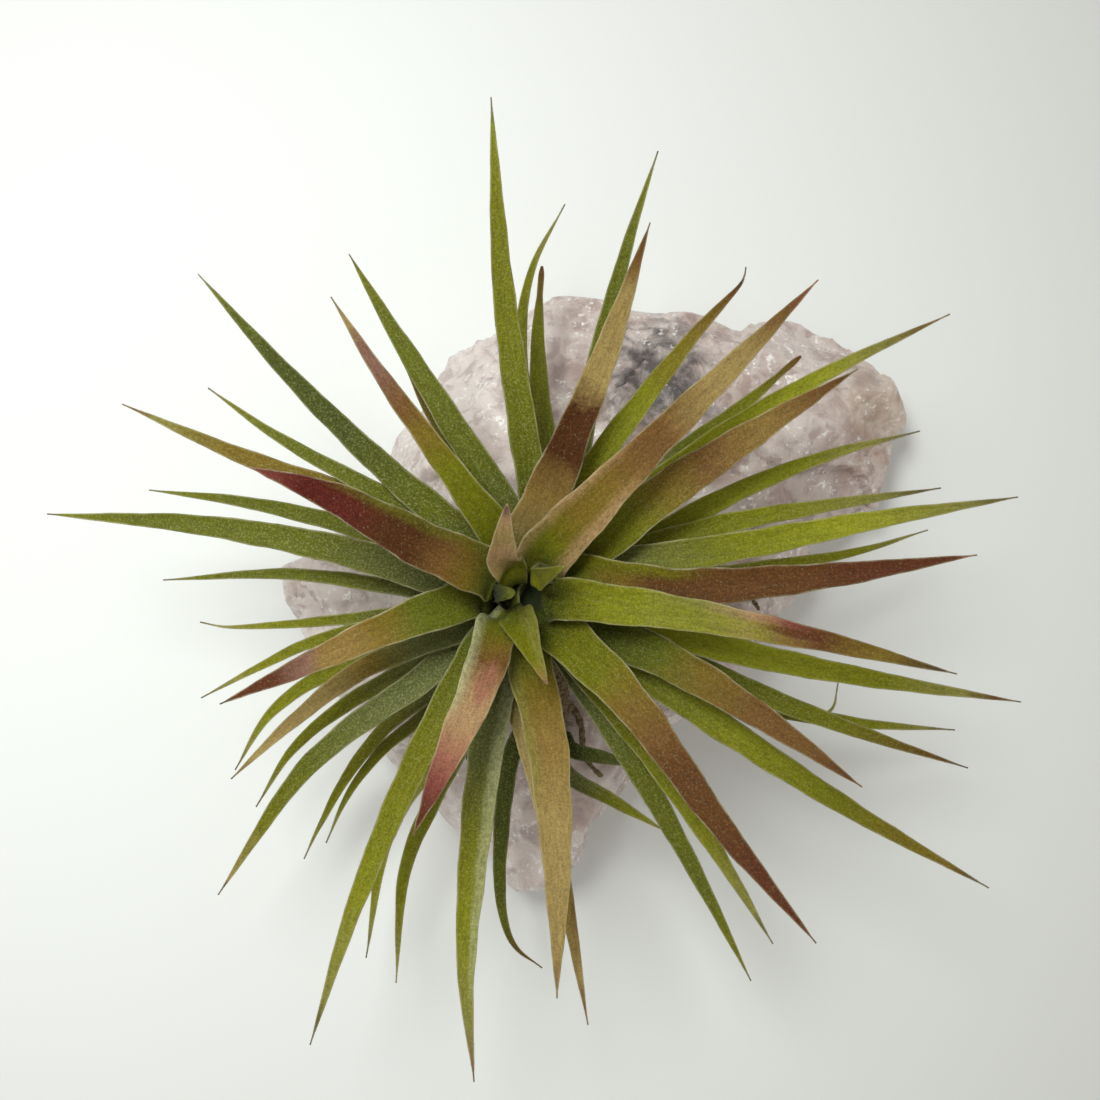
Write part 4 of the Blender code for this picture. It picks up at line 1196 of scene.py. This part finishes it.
def add_stem():
    """The stem with its fibrous skin."""
    piece = merged_copy("stem", "fibrous_stem")
    apply_modifier(piece, "REMESH", mode="VOXEL", voxel_size=BARK_GRAIN * MM, use_smooth_shade=True)
    mesh = piece.data
    moved = corners_of(mesh)
    normals = normals_of(mesh)
    coarse, fine = FIBRE_DEPTHS
    for index, (point, normal) in enumerate(zip(moved.copy(), normals)):
        stretched = Vector(point * FIBRE_TURNS)
        shift = coarse * noise.noise(stretched) + fine * noise.noise(stretched * 3.1)
        moved[index] += normal * (shift - 0.05)
    move_corners(mesh, moved)
    piece.data.materials.append(bark_material(bpy.context.scene.air_plant_bark))
    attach(piece, "root")
    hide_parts("stem")


def bark_material(colours):
    """Old stem wrapped in dry fibres, matte and brown, and green at its growing tip."""
    material, shader, add, where = start_material("fibrous stem bark")
    tone = tones_of(colours)
    # Fibres 0.3 mm wide and 1.7 mm long run up the stem
    stretched = add("VectorMath", [where, (3.0, 3.0, 0.6)], operation="MULTIPLY")
    fibres = add("TexNoise", {"Vector": stretched, "Scale": 1.0, "Detail": 4.0, "Roughness": 0.65})
    ramp = add("ValToRGB", [fibres])
    for element, at, word in zip(ramp.color_ramp.elements, (0.35, 0.68), ("gap", "fibre")):
        element.position = at
        element.color = tone[word]
    height = add("SeparateXYZ", [where]).outputs[2]
    fresh = add("MapRange", [height, 33.0, 37.0])
    base = add("Mix", {0: fresh, 6: ramp.outputs[0], 7: tone["growing"]}, data_type="RGBA").outputs[2]
    bump = add("Bump", {"Height": fibres, "Strength": 0.7, "Distance": 0.3 * MM})
    connect(shader, {"Base Color": base, "Normal": bump, "Roughness": 0.85})
    return material


def floor_material(colours):
    """Board with matte paint, pale and even, with clouds of about 100 mm that hardly show."""
    material, shader, add, where = start_material("matte painted board")
    clouds = add("TexNoise", {"Vector": where, "Scale": 0.009, "Detail": 3.0})
    share = add("MapRange", [clouds, 0.3, 0.7, 0.0, 0.25])
    pale, dull = (*colours.floor_colour, 1.0), (*colours.floor_shade, 1.0)
    base = add("Mix", {0: share, 6: pale, 7: dull}, data_type="RGBA").outputs[2]
    connect(shader, {"Base Color": base, "Roughness": 0.55})
    return material


def add_stage():
    """Floor, light and the photograph's eye."""
    settings = bpy.context.scene.air_plant_stage
    deselect()
    bpy.ops.mesh.primitive_plane_add(size=FLOOR_SIZE * MM, location=(0.0, 0.0, -FLOOR_DROP * MM))
    floor = bpy.context.active_object
    floor.name = "floor"
    bpy.ops.object.transform_apply(location=True, rotation=True, scale=True)
    floor.data.materials.append(floor_material(settings))
    bpy.ops.object.light_add(type="SPOT", location=settings.light_place)
    window = bpy.context.active_object
    window.name = "window light"
    window.data.energy = settings.light_power
    window.data.shadow_soft_size = settings.light_size
    window.data.spot_size = LIGHT_CONE
    window.data.spot_blend = 1.0
    window.data.color = settings.light_colour
    aim = Vector(settings.light_aim) - window.location
    window.rotation_euler = aim.to_track_quat("-Z", "Y").to_euler()
    world = bpy.data.worlds.new("pale room")
    world.use_nodes = True
    background = world.node_tree.nodes["Background"]
    background.inputs["Color"].default_value = (*settings.sky_colour, 1.0)
    background.inputs["Strength"].default_value = settings.sky_strength
    bpy.context.scene.world = world
    bpy.context.scene.view_settings.view_transform = "Standard"
    bpy.ops.object.camera_add(location=[value * MM for value in EYE], rotation=(0.0, 0.0, 0.0))
    camera = bpy.context.active_object
    camera.name = "eye"
    camera.data.sensor_width = SENSOR
    camera.data.lens = SENSOR * (EYE[2] - SEEN_LEVEL) / FRAME_WIDTH
    camera.data.clip_start = NEAREST_SEEN * MM
    bpy.context.scene.camera = camera


class AIRPLANT_OT_stage(bpy.types.Operator):
    """Make the floor, the light and the camera"""

    bl_idname = "airplant.stage"
    bl_label = "Stage"

    def execute(self, context):
        add_stage()
        return {"FINISHED"}


class AIRPLANT_OT_stone(bpy.types.Operator):
    """Make the lump of rose quartz"""

    bl_idname = "airplant.stone"
    bl_label = "Rose quartz"

    def execute(self, context):
        add_stone()
        return {"FINISHED"}


class AIRPLANT_OT_stem(bpy.types.Operator):
    """Make the fibrous stem"""

    bl_idname = "airplant.stem"
    bl_label = "Stem"

    def execute(self, context):
        add_stem()
        return {"FINISHED"}


class AIRPLANT_OT_old_leaves(bpy.types.Operator):
    """Make the old leaves on the lying stem"""

    bl_idname = "airplant.old_leaves"
    bl_label = "Old leaves"

    def execute(self, context):
        add_leaves("old")
        return {"FINISHED"}


class AIRPLANT_OT_low_leaves(bpy.types.Operator):
    """Make the lowest leaves of the rosette"""

    bl_idname = "airplant.low_leaves"
    bl_label = "Low leaves"

    def execute(self, context):
        add_leaves("low")
        return {"FINISHED"}


class AIRPLANT_OT_outer_leaves(bpy.types.Operator):
    """Make the outer leaves of the rosette"""

    bl_idname = "airplant.outer_leaves"
    bl_label = "Outer leaves"

    def execute(self, context):
        add_leaves("outer")
        return {"FINISHED"}


class AIRPLANT_OT_inner_leaves(bpy.types.Operator):
    """Make the flushed inner leaves of the rosette"""

    bl_idname = "airplant.inner_leaves"
    bl_label = "Inner leaves"

    def execute(self, context):
        add_leaves("inner")
        return {"FINISHED"}


class AIRPLANT_OT_heart_leaves(bpy.types.Operator):
    """Make the small leaves and the bud of the heart"""

    bl_idname = "airplant.heart_leaves"
    bl_label = "Heart leaves"

    def execute(self, context):
        add_leaves("heart")
        return {"FINISHED"}


OPERATORS = (
    AIRPLANT_OT_stage,
    AIRPLANT_OT_stone,
    AIRPLANT_OT_stem,
    AIRPLANT_OT_old_leaves,
    AIRPLANT_OT_low_leaves,
    AIRPLANT_OT_outer_leaves,
    AIRPLANT_OT_inner_leaves,
    AIRPLANT_OT_heart_leaves,
)


class AIRPLANT_PT_panel(bpy.types.Panel):
    """Lists the pieces of the air plant"""

    bl_label = "Air Plant"
    bl_space_type = "VIEW_3D"
    bl_region_type = "UI"
    bl_category = "Air Plant"

    def draw(self, context):
        for operator in OPERATORS:
            self.layout.operator(operator.bl_idname)
        for group, _ in GROUPS:
            settings = getattr(context.scene, group)
            for name in settings.__annotations__:
                self.layout.prop(settings, name)


GROUPS = (
    ("air_plant_sizes", AirPlantSizes),
    ("air_plant_leaves", AirPlantLeafColours),
    ("air_plant_stone", AirPlantStoneColours),
    ("air_plant_bark", AirPlantBarkColours),
    ("air_plant_stage", AirPlantStage),
)


def register():
    """Register the settings, the operators and the panel."""
    for name, group in GROUPS:
        bpy.utils.register_class(group)
        setattr(bpy.types.Scene, name, bpy.props.PointerProperty(type=group))
    for made in (*OPERATORS, AIRPLANT_PT_panel):
        bpy.utils.register_class(made)


def unregister():
    """Take the panel, the operators and the settings away."""
    for made in reversed((*OPERATORS, AIRPLANT_PT_panel)):
        bpy.utils.unregister_class(made)
    for name, group in reversed(GROUPS):
        delattr(bpy.types.Scene, name)
        bpy.utils.unregister_class(group)


def main():
    """Make every piece."""
    register()
    bpy.ops.airplant.stage()
    bpy.ops.airplant.stone()
    bpy.ops.airplant.stem()
    bpy.ops.airplant.old_leaves()
    bpy.ops.airplant.low_leaves()
    bpy.ops.airplant.outer_leaves()
    bpy.ops.airplant.inner_leaves()
    bpy.ops.airplant.heart_leaves()


if __name__ == "__main__":
    main()
